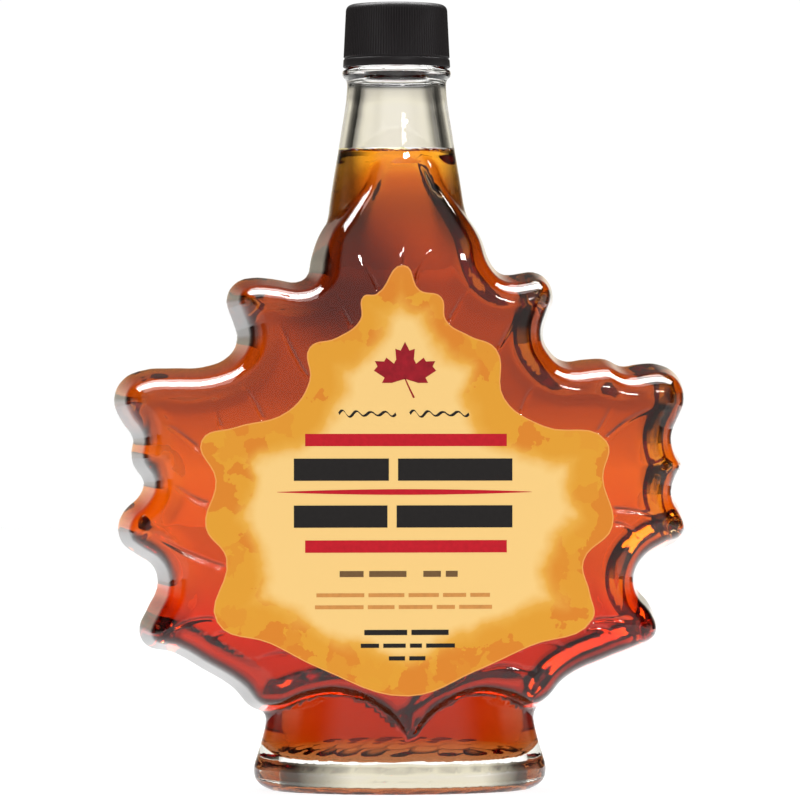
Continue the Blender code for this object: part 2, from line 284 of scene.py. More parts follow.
def cubic_slopes(share: Array) -> tuple[Array, Array, Array, Array]:
    """How fast the four weights change with the share."""
    square = share**2
    return (
        0.5 * (-3.0 * square + 4.0 * share - 1.0),
        0.5 * (9.0 * square - 10.0 * share),
        0.5 * (-9.0 * square + 8.0 * share + 1.0),
        0.5 * (3.0 * square - 2.0 * share),
    )


def map_places(
    x_low: float, x_high: float, z_low: float, z_high: float, step: float
) -> tuple[Array, Array]:
    """The places of an even grid, as two arrays of the same shape."""
    x = np.arange(x_low, x_high + step, step)
    z = np.arange(z_low, z_high + step, step)
    return tuple(np.meshgrid(x, z, indexing="ij"))


@dataclass(frozen=True)
class LeafEdge:
    """The leaf's edge seen from the front, as (x, z) points in mm."""

    left: tuple[Point, ...] = (
        (-23.2, 160.6), (-25.9, 153.0), (-27.0, 148.2), (-29.6, 146.6), (-36.5, 147.4),
        (-43.0, 147.8), (-47.6, 146.3), (-50.3, 141.4), (-48.6, 135.5), (-47.2, 129.9),
        (-49.5, 125.3), (-56.7, 122.1), (-66.0, 121.7), (-74.0, 121.2), (-80.2, 118.3),
        (-82.7, 112.0), (-80.5, 106.4), (-77.1, 101.0), (-77.8, 97.3), (-76.8, 93.0),
        (-74.1, 88.9), (-75.4, 84.9), (-79.7, 80.6), (-81.5, 76.2), (-80.4, 71.4), (-76.2, 68.0),
        (-71.4, 64.6), (-70.2, 59.0), (-73.0, 52.6), (-75.5, 46.0), (-73.3, 41.7), (-66.0, 39.9),
        (-58.0, 35.4), (-48.4, 29.5), (-42.7, 23.6), (-36.0, 22.6), (-27.0, 25.4), (-19.0, 26.0),
        (-9.0, 21.6),
    )
    stem_tip: Point = (1.0, 12.4)
    right: tuple[Point, ...] = (
        (11.0, 21.6), (20.0, 26.0), (28.0, 25.4), (37.0, 22.8), (42.5, 25.6), (47.2, 30.9),
        (58.9, 36.4), (68.0, 40.0), (73.0, 42.6), (74.8, 46.4), (72.8, 52.9), (68.2, 59.4),
        (69.4, 64.8), (75.3, 69.1), (81.0, 71.7), (82.8, 76.2), (81.2, 81.0), (79.0, 85.4),
        (80.0, 89.7), (81.8, 93.6), (79.8, 97.7), (79.0, 101.9), (81.0, 106.9), (82.7, 112.0),
        (80.4, 119.8), (75.0, 122.9), (69.0, 122.9), (64.3, 122.2), (59.5, 124.4), (53.5, 124.3),
        (47.0, 123.9), (42.8, 127.5), (41.4, 131.0), (42.8, 136.8), (44.4, 141.6), (42.5, 147.4),
        (38.6, 149.6), (34.2, 149.1), (29.8, 148.8), (26.8, 151.2), (23.0, 160.2),
    )
    tongue: tuple[Point, ...] = (
        (17.6, 168.0), (13.0, 174.5), (10.0, 182.0), (0.0, 188.5), (-10.0, 182.0), (-13.0, 174.5),
        (-17.6, 168.0),
    )
    steps: int = 7
    map_low: float = 4.0
    map_high: float = 200.0
    map_step: float = 0.5

    def distance_map(self) -> FieldMap:
        """How far inside the edge each place of the front view lies."""
        line = smooth_line(self.left + (self.stem_tip,) + self.right + self.tongue, self.steps)
        return FieldMap.over(
            self.map_low, self.map_high, self.map_step, lambda x, z: line_distance(x, z, line)
        )


@dataclass(frozen=True)
class LeafVeins:
    """Fine grooves in the leaf's front face, as (x, z) points in mm from each root to its end."""

    depth: float = 0.38
    half_width: float = 0.55
    taper: float = 9.0
    points_a_stretch: int = 8
    lines: tuple[tuple[Point, ...], ...] = (
        ((0.0, 30.0), (-0.6, 90.0), (-1.0, 158.0)),
        ((0.0, 30.0), (-30.0, 73.0), (-60.3, 99.5), (-69.5, 106.0)),
        ((0.0, 30.0), (29.0, 72.0), (57.5, 102.3), (71.0, 110.5)),
        ((0.0, 30.0), (-27.0, 42.0), (-54.6, 50.4), (-68.0, 47.4)),
        ((0.0, 30.0), (26.0, 42.0), (52.4, 49.6), (66.5, 49.4)),
        ((-0.9, 128.0), (-8.2, 143.4), (-14.0, 154.6)),
        ((-0.9, 130.0), (2.6, 147.7), (7.6, 155.4)),
        ((-0.7, 108.0), (-15.6, 132.9), (-20.6, 142.6)),
        ((-0.7, 110.0), (11.7, 134.6), (17.8, 145.4)),
        ((-0.6, 84.0), (-28.1, 118.5), (-36.6, 134.6)),
        ((-0.6, 86.0), (25.9, 127.3), (30.4, 138.0)),
        ((-24.0, 66.0), (-40.9, 106.5), (-47.2, 117.0)),
        ((22.0, 63.0), (32.2, 108.5), (37.4, 117.0)),
        ((-44.0, 87.0), (-52.9, 104.3), (-54.6, 112.4)),
        ((42.0, 86.0), (54.1, 103.1), (59.0, 112.4)),
        ((-36.0, 79.0), (-56.6, 83.0), (-66.6, 88.4)),
        ((-22.0, 62.0), (-50.9, 64.8), (-71.0, 73.4)),
        ((38.0, 81.0), (59.8, 81.3), (71.6, 79.4)),
        ((34.0, 77.0), (59.2, 77.3), (66.6, 72.6)),
        ((-24.0, 41.0), (-49.2, 46.7), (-56.6, 44.2)),
        ((-12.0, 36.0), (-33.5, 40.5), (-43.6, 38.6)),
        ((22.0, 41.0), (51.8, 47.8), (59.2, 45.2)),
        ((13.0, 36.0), (37.6, 43.3), (44.6, 41.8)),
        ((6.0, 33.0), (25.9, 36.8), (36.0, 35.2)),
    )

    def curves(self) -> list[Array]:
        """Each vein as a smooth run of points."""
        runs = []
        for points in self.lines:
            knots = np.array(points)
            count = len(knots)
            places = np.linspace(0.0, count - 1.0, self.points_a_stretch * (count - 1) + 1)
            index = np.clip(places.astype(int), 0, count - 2)
            before = knots[np.maximum(index - 1, 0)]
            after = knots[np.minimum(index + 2, count - 1)]
            weights = cubic_weights(places - index)
            stack = (before, knots[index], knots[index + 1], after)
            runs.append(sum(weight[:, None] * rows for weight, rows in zip(weights, stack)))
        return runs

    def cut(self, x: Array, z: Array) -> Array:
        """How deep the veins cut into the face at the places of an even grid, in mm."""
        total = np.zeros(x.shape)
        margin = 3.0 * self.half_width
        for run in self.curves():
            low, high = run.min(axis=0) - margin, run.max(axis=0) + margin
            columns = slice(*np.searchsorted(x[:, 0], (low[0], high[0])))
            rows = slice(*np.searchsorted(z[0], (low[1], high[1])))
            across, up = x[columns, rows], z[columns, rows]
            reach = line_distance(across, up, run, closed=False)
            end = np.hypot(across - run[-1, 0], up - run[-1, 1])
            fade = np.clip(end / self.taper, 0.0, 1.0)
            groove = self.depth * fade * np.exp(-((reach / self.half_width) ** 2))
            total[columns, rows] = np.maximum(total[columns, rows], groove)
        return total


@dataclass
class BottleForm:
    """The bottle's form as the square of its half depth at each place of the front view, in mm."""

    leaf: LeafEdge = field(default_factory=LeafEdge)
    veins: LeafVeins = field(default_factory=LeafVeins)
    half_depth: float = 28.3
    wall_depth: float = 19.8
    wall_inset: float = 2.6
    outer_ridge: float = 0.15
    inner_ridge: float = 0.5
    face_inset: float = 9.8
    outer_softening: float = 0.8
    inner_softening: float = 1.8
    slope_start: float = 146.0
    slope_end: float = 188.0
    slope_bend: float = 0.45
    neck_share: float = 0.51
    tongue_start: float = 150.0
    tongue_end: float = 180.0
    tongue_crispness: float = 0.9
    foot_flattening: float = 0.62
    foot_end: float = 30.0
    floor: float = 4.9
    mouth: float = 224.6
    neck_x: float = -1.0
    neck_start: float = 150.0
    neck_straight: float = 170.0
    fall: float = 60.0
    blend: float = 34.0
    foot_blend: float = 70.0
    profile_steps: int = 60
    map_low: float = -6.0
    map_high: float = 232.0
    map_step: float = 0.4
    vein_map_step: float = 0.25
    vein_least_depth: float = 20.0
    vein_full_depth: float = 25.0
    neck_outside: tuple[Point, ...] = (
        (140.0, 22.5), (152.0, 21.4), (164.4, 20.0), (175.5, 18.4), (184.0, 16.95), (190.0, 16.0),
        (195.5, 15.1), (200.0, 14.5), (203.6, 14.3), (204.8, 14.5), (205.6, 15.25), (206.6, 15.7),
        (207.5, 15.6), (208.2, 14.6), (208.8, 13.1), (210.0, 12.9), (228.0, 12.9),
    )
    neck_inside: tuple[Point, ...] = (
        (140.0, 18.7), (164.4, 16.2), (175.5, 14.6), (184.0, 13.2), (190.0, 12.2), (196.0, 11.2),
        (202.0, 10.4), (208.0, 9.9), (214.0, 9.8), (228.0, 9.8),
    )
    foot_outside: tuple[Point, ...] = (
        (-3.0, 30.0), (-0.6, 36.2), (0.0, 37.6), (0.8, 39.3), (2.0, 41.0), (3.6, 42.1),
        (6.0, 42.4), (10.0, 41.4), (15.0, 39.9), (20.5, 38.7), (27.0, 37.8), (34.0, 35.0),
        (40.0, 31.0),
    )
    foot_inside: tuple[Point, ...] = (
        (5.0, 20.0), (6.6, 26.5), (8.4, 31.0), (10.8, 34.4), (14.0, 36.0), (20.5, 35.0),
        (27.0, 34.0), (34.0, 31.0), (40.0, 27.0),
    )

    def __post_init__(self) -> None:
        """Works out the maps of the distance from the leaf's edge, and of the skins."""
        sharp = self.leaf.distance_map()
        outer = sharp.blurred(self.outer_softening)
        inner = sharp.blurred(self.inner_softening)
        self.distances = {skin: outer if skin is Skin.OUTSIDE else inner for skin in Skin}
        self.skin_maps = {skin: self.skin_map(skin) for skin in Skin}

    def slope(self, z: Array) -> Array:
        """The share of its depth that the leaf keeps at a height, less towards the neck."""
        share = np.clip((z - self.slope_start) / (self.slope_end - self.slope_start), 0.0, 1.0)
        eased = ease(z, self.slope_start, self.slope_end)
        lost = self.slope_bend * share * share + (1.0 - self.slope_bend) * eased
        return 1.0 - (1.0 - self.neck_share) * lost

    def neck_middle(self, z: Array) -> Array:
        """Where the neck's middle lies across, at a height."""
        return self.neck_x * ease(z, self.neck_start, self.neck_straight)

    def profile(self, reach: Array, ridge: float) -> Array:
        """The leaf's squared half depth at a distance from its edge.

        Args:
            reach: The distance, in mm.
            ridge: How soft the edge is in the middle of the depth, in mm.

        Returns:
            Squares of the half depth, falling below zero outside.
        """
        steep = self.wall_depth**2 / (self.wall_inset**2 + 2.0 * ridge * self.wall_inset)
        lean = self.wall_depth / (steep * (self.wall_inset + ridge))
        turn = self.wall_inset + lean * (self.half_depth - self.wall_depth)
        share = np.linspace(0.0, 1.0, self.profile_steps)
        start_weight, turn_weight, end_weight = (1 - share) ** 2, 2 * share * (1 - share), share**2
        depth = self.wall_depth * start_weight + self.half_depth * (turn_weight + end_weight)
        inset = self.wall_inset * start_weight + turn * turn_weight + self.face_inset * end_weight
        wall = steep * (np.maximum(reach, 0.0) ** 2 + 2.0 * ridge * reach)
        return np.where(reach < self.wall_inset, wall, np.interp(reach, inset, depth**2))

    def leaf_square(self, x: Array, z: Array, skin: Skin) -> Array:
        """The leaf's own squared half depth."""
        reach = self.distances[skin].read(x, z) - skin.value
        reach = reach * (1.0 + self.tongue_crispness * ease(z, self.tongue_start, self.tongue_end))
        square = self.profile(reach, self.outer_ridge if skin is Skin.OUTSIDE else self.inner_ridge)
        inner = (self.half_depth - skin.value) / self.half_depth
        return square * (inner * self.slope(z)) ** 2

    def square_depth(self, x: Array, z: Array, skin: Skin) -> Array:
        """The squared half depth of leaf, neck and foot together."""
        outside = skin is Skin.OUTSIDE
        spare = 0.0 if outside else Skin.INSIDE.value - skin.value
        neck_rows = np.array(self.neck_outside if outside else self.neck_inside)
        foot_rows = np.array(self.foot_outside if outside else self.foot_inside)
        neck_radius = smooth_profile(neck_rows, z) + spare
        foot_radius = smooth_profile(foot_rows, z + spare) + spare
        below = np.clip(self.neck_start - z, 0.0, None)
        above = np.clip(z - self.foot_end, 0.0, None)
        neck = neck_radius**2 - (x - self.neck_middle(z)) ** 2 - below * self.fall
        foot = self.foot_flattening**2 * (foot_radius**2 - x**2) - above * self.fall
        square = smooth_maximum(self.leaf_square(x, z, skin), neck, self.blend)
        return smooth_maximum(square, foot, self.foot_blend)

    def skin_map(self, skin: Skin) -> FieldMap:
        """The squared half depth of one skin over the whole front view."""
        return FieldMap.over(
            self.map_low, self.map_high, self.map_step, lambda x, z: self.square_depth(x, z, skin)
        )

    def veined_map(self, bare: Array) -> FieldMap:
        """The outer skin's squared half depth with the veins cut into it.

        Args:
            bare: The edge of an area without veins, as (x, z) rows in mm.

        Returns:
            The map.
        """

        def veined(x: Array, z: Array) -> Array:
            """The squared half depth at some places."""
            square = self.skin_maps[Skin.OUTSIDE].read(x, z)
            depth = np.sqrt(np.maximum(square, 1.0))
            span = self.vein_full_depth - self.vein_least_depth
            kept = np.clip((depth - self.vein_least_depth) / span, 0.0, 1.0)
            kept = kept * np.clip(-line_distance(x, z, bare), 0.0, 1.0)
            return square - 2.0 * depth * self.veins.cut(x, z) * kept

        return FieldMap.over(self.map_low, self.map_high, self.vein_map_step, veined)


def smooth_profile(rows: Array, z: Array) -> Array:
    """A radius at any height from (height, radius) rows, by a curve with no overshoot.

    Args:
        rows: The rows, lowest first.
        z: Heights to read.

    Returns:
        Radii of the shape of z.
    """
    heights, radii = rows[:, 0], rows[:, 1]
    steps = np.diff(heights)
    slopes = np.diff(radii) / steps
    tangents = np.zeros(len(rows))
    same = slopes[:-1] * slopes[1:] > 0.0
    lean = 2.0 * slopes[:-1] * slopes[1:] / np.where(same, slopes[:-1] + slopes[1:], 1.0)
    tangents[1:-1] = np.where(same, lean, 0.0)
    tangents[0], tangents[-1] = slopes[0], slopes[-1]
    place = np.clip(z, heights[0], heights[-1])
    index = np.clip(np.searchsorted(heights, place, side="right") - 1, 0, len(rows) - 2)
    share = (place - heights[index]) / steps[index]
    square, cube = share**2, share**3
    return (
        (2 * cube - 3 * square + 1) * radii[index]
        + (cube - 2 * square + share) * steps[index] * tangents[index]
        + (3 * square - 2 * cube) * radii[index + 1]
        + (cube - square) * steps[index] * tangents[index + 1]
    )


Slopes = tuple[Array, Array, Array]


class Side(Protocol):
    """One side of a solid."""

    def measure(self, x: Array, y: Array, z: Array) -> tuple[Array, Slopes]:
        """The distance out of the solid, in mm, and its slopes along x, y and z."""
        ...


@dataclass(frozen=True)
class Level:
    """A flat level that ends a solid above it, or below it where rising is false."""

    height: float
    rising: bool = True

    def measure(self, x: Array, y: Array, z: Array) -> tuple[Array, Slopes]:
        """The distance and its slopes, as in Side."""
        sign = 1.0 if self.rising else -1.0
        still = np.zeros(np.broadcast(x, y, z).shape)
        return sign * (z - self.height) + still, (still, still, still + sign)


@dataclass(frozen=True)
class DomeFloor:
    """The cavity's floor, a low oval dome with a solid below it or above it.

    Its slight waves are (turn for each mm across, turn for each mm of depth, start), in radians.
    """

    level: float
    rise: float = 8.4
    half_width: float = 37.0
    half_depth: float = 23.0
    wave: float = 0.42
    waves: tuple[Spot, ...] = ((0.32, 0.95, 0.0), (0.55, -1.2, 1.0))
    solid_below: bool = True

    def measure(self, x: Array, y: Array, z: Array) -> tuple[Array, Slopes]:
        """The distance and its slopes, as in Side."""
        share = np.clip(1.0 - (x / self.half_width) ** 2 - (y / self.half_depth) ** 2, 0.0, 1.0)
        push = 2.0 * self.rise * (1.0 - share) * (share > 0.0)
        height = self.rise * share * (2.0 - share)
        lean_x = -push * 2.0 * x / self.half_width**2
        lean_y = -push * 2.0 * y / self.half_depth**2
        for across, along, start in self.waves:
            turn = across * x + along * y + start
            height = height + self.wave * share * np.sin(turn)
            lean_x = lean_x + self.wave * share * across * np.cos(turn)
            lean_y = lean_y + self.wave * share * along * np.cos(turn)
        sign = 1.0 if self.solid_below else -1.0
        still = np.zeros(np.broadcast(x, y, z).shape)
        slopes = (still - sign * lean_x, still - sign * lean_y, still + sign)
        return sign * (z - self.level - height) + still, slopes


@dataclass(frozen=True)
class SkinSide:
    """A skin of the bottle, with the solid inside it, or outside it where hollow is true."""

    front: FieldMap
    back: FieldMap
    hollow: bool = False

    def measure(self, x: Array, y: Array, z: Array) -> tuple[Array, Slopes]:
        """The distance and its slopes, as in Side."""
        flat_x, flat_z = np.broadcast_arrays(x, z)
        found = self.back.sample(flat_x, flat_z)
        if self.front is not self.back:
            ahead = self.front.sample(flat_x, flat_z)
            found = [np.where(y < 0.0, first, second) for first, second in zip(ahead, found)]
        square, slope_x, slope_z = found
        steep = np.sqrt(4.0 * y**2 + slope_x**2 + slope_z**2 + 1.0)
        sign = -1.0 if self.hollow else 1.0
        slopes = (-sign * slope_x / steep, 2.0 * sign * y / steep, -sign * slope_z / steep)
        return sign * (y**2 - square) / steep, slopes


@dataclass(frozen=True)
class DrinkTop:
    """The drink's surface, which climbs a little where it meets the glass."""

    middle: float
    level: float
    wall: float = 13.3
    climb: float = 1.5
    reach: float = 1.4

    def measure(self, x: Array, y: Array, z: Array) -> tuple[Array, Slopes]:
        """The distance and its slopes, as in Side."""
        x = x - self.middle
        radius = np.hypot(x, y) + 1e-6
        rise = self.climb * np.exp(np.minimum(radius - self.wall, 0.0) / self.reach)
        lean = np.where(radius < self.wall, rise / self.reach, 0.0) / radius
        still = np.zeros(np.broadcast(x, y, z).shape)
        return z - self.level - rise, (still - lean * x, still - lean * y, still + 1.0)


@dataclass(frozen=True)
class Grid:
    """The places where a solid is measured, in mm, with finer steps above a split."""

    half_width: float
    half_depth: float
    low: float
    split: float
    high: float
    cell: float
    fine_cell: float
    spare: float = 0.1
    split_gap: float = 0.6

    def axes(self) -> tuple[Array, Array, Array]:
        """The places along x, y and z."""
        halves = (self.half_width, self.half_depth)
        x, y = (np.arange(-half, half + self.spare, self.cell) for half in halves)
        coarse = np.arange(self.low, self.split, self.cell)
        fine = np.arange(self.split + self.split_gap, self.high, self.fine_cell)
        return x, y, np.concatenate([coarse, fine])


@dataclass
class NetSurface:
    """Turns sides into a closed mesh with its points right on them.

    The solid is what lies inside every group, and inside a group is inside any of its sides.
    """

    groups: list[list[Side]]
    grid: Grid

    def measure(self, x: Array, y: Array, z: Array) -> tuple[Array, Slopes]:
        """The distance and its slopes, as in Side."""
        best: tuple[Array, Slopes] | None = None
        for group in self.groups:
            inner: tuple[Array, Slopes] | None = None
            for side in group:
                found = side.measure(x, y, z)
                inner = found if inner is None else choose(found[0] < inner[0], found, inner)
            best = inner if best is None else choose(inner[0] > best[0], inner, best)
        return best

    def normals(self, points: Array) -> Array:
        """The outward direction at each point."""
        slopes = np.stack(self.measure(points[:, 0], points[:, 1], points[:, 2])[1], axis=1)
        return slopes / np.maximum(np.linalg.norm(slopes, axis=1, keepdims=True), 1e-9)

    def settle(self, points: Array, rounds: int = 5, most: float = 0.6) -> Array:
        """Moves points onto the surface along its own direction."""
        for _ in range(rounds):
            depth, slopes = self.measure(points[:, 0], points[:, 1], points[:, 2])
            direction = np.stack(slopes, axis=1)
            length = np.maximum(np.linalg.norm(direction, axis=1, keepdims=True), 1e-9)
            points = points - direction / length * np.clip(depth, -most, most)[:, None]
        return points

    def build(self) -> tuple[Array, Array]:
        """The points and the four-sided faces."""
        axes = self.grid.axes()
        x, y, z = axes
        values = self.measure(x[:, None, None], y[None, :, None], z[None, None, :])[0]
        inside = values < 0.0
        cells = tuple(n - 1 for n in values.shape)
        sums = np.zeros(cells + (3,))
        counts = np.zeros(cells)
        faces = []
        for axis in range(3):
            others = [k for k in range(3) if k != axis]
            where = np.argwhere(np.diff(inside, axis=axis))
            beyond = where.copy()
            beyond[:, axis] += 1
            first, second = values[tuple(where.T)], values[tuple(beyond.T)]
            spots = np.stack([axes[k][where[:, k]] for k in range(3)], axis=1)
            gap = axes[axis][beyond[:, axis]] - axes[axis][where[:, axis]]
            spots[:, axis] += gap * first / (first - second)
            within = np.ones(len(where), bool)
            for other in others:
                within &= (where[:, other] > 0) & (where[:, other] < cells[other])
            where, spots, outward = where[within], spots[within], (first < 0.0)[within]
            ring = []
            for a, b in ((1, 1), (0, 1), (0, 0), (1, 0)):
                cell = where.copy()
                cell[:, others[0]] -= a
                cell[:, others[1]] -= b
                np.add.at(sums, tuple(cell.T), spots)
                np.add.at(counts, tuple(cell.T), 1)
                ring.append(np.ravel_multi_index(tuple(cell.T), cells))
            quads = np.stack(ring, axis=1)
            flip = outward if axis == 1 else ~outward
            quads[flip] = quads[flip][:, ::-1]
            faces.append(quads)
        used = counts > 0
        number = np.full(counts.size, -1)
        number[used.ravel()] = np.arange(int(used.sum()))
        return self.settle(sums[used] / counts[used][:, None]), number[np.concatenate(faces)]


def choose(
    pick: Array, first: tuple[Array, Slopes], second: tuple[Array, Slopes]
) -> tuple[Array, Slopes]:
    """The first distance and slopes where pick is true, and otherwise the second."""
    slopes = tuple(np.where(pick, a, b) for a, b in zip(first[1], second[1]))
    return np.where(pick, first[0], second[0]), slopes


def dress(piece: bpy.types.Object, material: bpy.types.Material) -> None:
    """Gives a piece its one material."""
    piece.data.materials.clear()
    piece.data.materials.append(material)


def mark_points(piece: bpy.types.Object, name: str, values: Array) -> None:
    """Keeps a number for each point of a piece, under a name that its material reads."""
    store = piece.data.attributes.new(name, "FLOAT", "POINT")
    store.data.foreach_set("value", values.astype(np.float32))


# Finishes


@dataclass(frozen=True)
class Wiring:
    """Adds nodes to the tree of a material or a world, and joins them up."""

    tree: bpy.types.NodeTree

    def fill(self, node: bpy.types.Node, inputs: Mapping[str | int, object]) -> None:
        """Gives a node's inputs their values, or joins them to the outputs that they read."""
        for key, value in inputs.items():
            socket = node.inputs[key]
            if isinstance(value, Socket):
                self.tree.links.new(value, socket)
            elif socket.type == "RGBA":
                socket.default_value = (*value, 1.0)
            else:
                socket.default_value = value

    def add(
        self, kind: str, inputs: Mapping[str | int, object] | None = None, **settings: object
    ) -> bpy.types.Node:
        """Makes one node.

        Args:
            kind: The end of its type's name.
            inputs: What goes into its inputs.
            settings: Its own settings.

        Returns:
            The node.
        """
        node = self.tree.nodes.new(f"ShaderNode{kind}")
        for name, value in settings.items():
            setattr(node, name, value)
        self.fill(node, inputs or {})
        return node

    def math(self, operation: str, *values: object) -> Socket:
        """One step of arithmetic."""
        return self.add("Math", dict(enumerate(values)), operation=operation).outputs["Value"]

    def vector(self, operation: str, *values: object, output: str = "Vector") -> Socket:
        """One step of arithmetic on vectors."""
        return self.add("VectorMath", dict(enumerate(values)), operation=operation).outputs[output]

    def run(
        self, value: Socket, ends: Point = (0.0, 1.0), goal: Point = (0.0, 1.0), soft: bool = False
    ) -> Socket:
        """A number that goes from one end of goal to the other while a value goes through ends."""
        names = ("Value", "From Min", "From Max", "To Min", "To Max")
        inputs = dict(zip(names, (value, *ends, *goal)))
        kind = "SMOOTHSTEP" if soft else "LINEAR"
        return self.add("MapRange", inputs, interpolation_type=kind).outputs["Result"]

    def place(self, kind: str = "Object") -> Socket:
        """The place on a piece, or with Generated the direction in a world."""
        return self.add("TexCoord").outputs[kind]

    def split(self, vector: Socket) -> Mapping[str, Socket]:
        """A vector's X, Y and Z."""
        return self.add("SeparateXYZ", {"Vector": vector}).outputs

    def noise(self, place: Socket, scale: float, detail: float = 2.0) -> Mapping[str, Socket]:
        """A noise texture's Fac and Color."""
        return self.add("TexNoise", {"Vector": place, "Scale": scale, "Detail": detail}).outputs

    def bump(self, height: Socket, strength: float, distance: float) -> Socket:
        """The surface's direction with a small relief on it."""
        inputs = {"Height": height, "Strength": strength, "Distance": distance}
        return self.add("Bump", inputs).outputs["Normal"]

    def blend(self, share: object, first: object, second: object, kind: str = "MIX") -> Socket:
        """Two colours mixed by the share of the second, or multiplied."""
        inputs = {0: share, 6: first, 7: second}
        return self.add("Mix", inputs, data_type="RGBA", blend_type=kind).outputs[2]

    def ramp(self, value: Socket, stops: Sequence[tuple[float, Colour]]) -> Socket:
        """A colour for each value, from places from 0 to 1 in rising order with their colours."""
        ramp = self.add("ValToRGB", {"Fac": value})
        elements = ramp.color_ramp.elements
        while len(elements) < len(stops):
            elements.new(1.0)
        for element, (place, _) in zip(elements, stops):
            element.position = place
        for element, (place, colour) in zip(elements, stops):
            element.position = place
            element.color = (*colour, 1.0)
        return ramp.outputs["Color"]

    def finish(self, name: str, shader: bpy.types.Node) -> None:
        """Joins a shader to the material's surface or volume."""
        self.fill(self.tree.nodes["Material Output"], {name: shader.outputs[0]})

    def absorb(self, body: Colour, density: float) -> None:
        """Fills a material with plain absorption, with its density for each metre."""
        self.finish("Volume", self.add("VolumeAbsorption", {"Color": body, "Density": density}))


def new_material(name: str) -> tuple[bpy.types.Material, Wiring, bpy.types.Node]:
    """A new node material, with its wiring and its shader."""
    made = bpy.data.materials.new(name)
    made.use_nodes = True
    return made, Wiring(made.node_tree), made.node_tree.nodes["Principled BSDF"]


@dataclass(frozen=True)
class ClearGlass:
    """Polished glass with a faint warm grey body, which bends light less where the drink wets it.

    The mesh carries 1 on its inner skin and 0 elsewhere under the name in skin_name.
    """

    waterline: float
    drink_index: float
    skin_name: str = "inner_skin"
    index: float = 1.5
    body: Colour = (0.80, 0.79, 0.66)
    density: float = 9.0

    def material(self) -> bpy.types.Material:
        """The material, with its body colour as plain absorption."""
        made, wiring, shader = new_material("clear_glass")
        inner = wiring.add("Attribute", attribute_name=self.skin_name).outputs["Fac"]
        below = wiring.math("LESS_THAN", wiring.split(wiring.place())["Z"], self.waterline * MM)
        wet = wiring.math("MULTIPLY", inner, below)
        bend = wiring.run(wet, goal=(self.index, self.index / self.drink_index))
        wiring.fill(shader, {"Base Color": (1.0, 1.0, 1.0), "IOR": bend, **POLISHED})
        wiring.absorb(self.body, self.density)
        return made


@dataclass(frozen=True)
class PaintedShade:
    """A painted shade: a soft dark patch over the drink's tint, round from the front, whose core
    has all its colour.
    """

    colour: Colour
    x: float
    z: float
    reach: float
    core: float

    def over(self, wiring: Wiring, flat: Socket, tint: Socket) -> Socket:
        """The tint with this painted shade patch over it, from a place whose depth is left out."""
        away = wiring.vector("DISTANCE", flat, (self.x * MM, 0.0, self.z * MM), output="Value")
        share = wiring.run(away, (self.reach * MM, self.core * MM), soft=True)
        return wiring.blend(share, tint, self.colour)


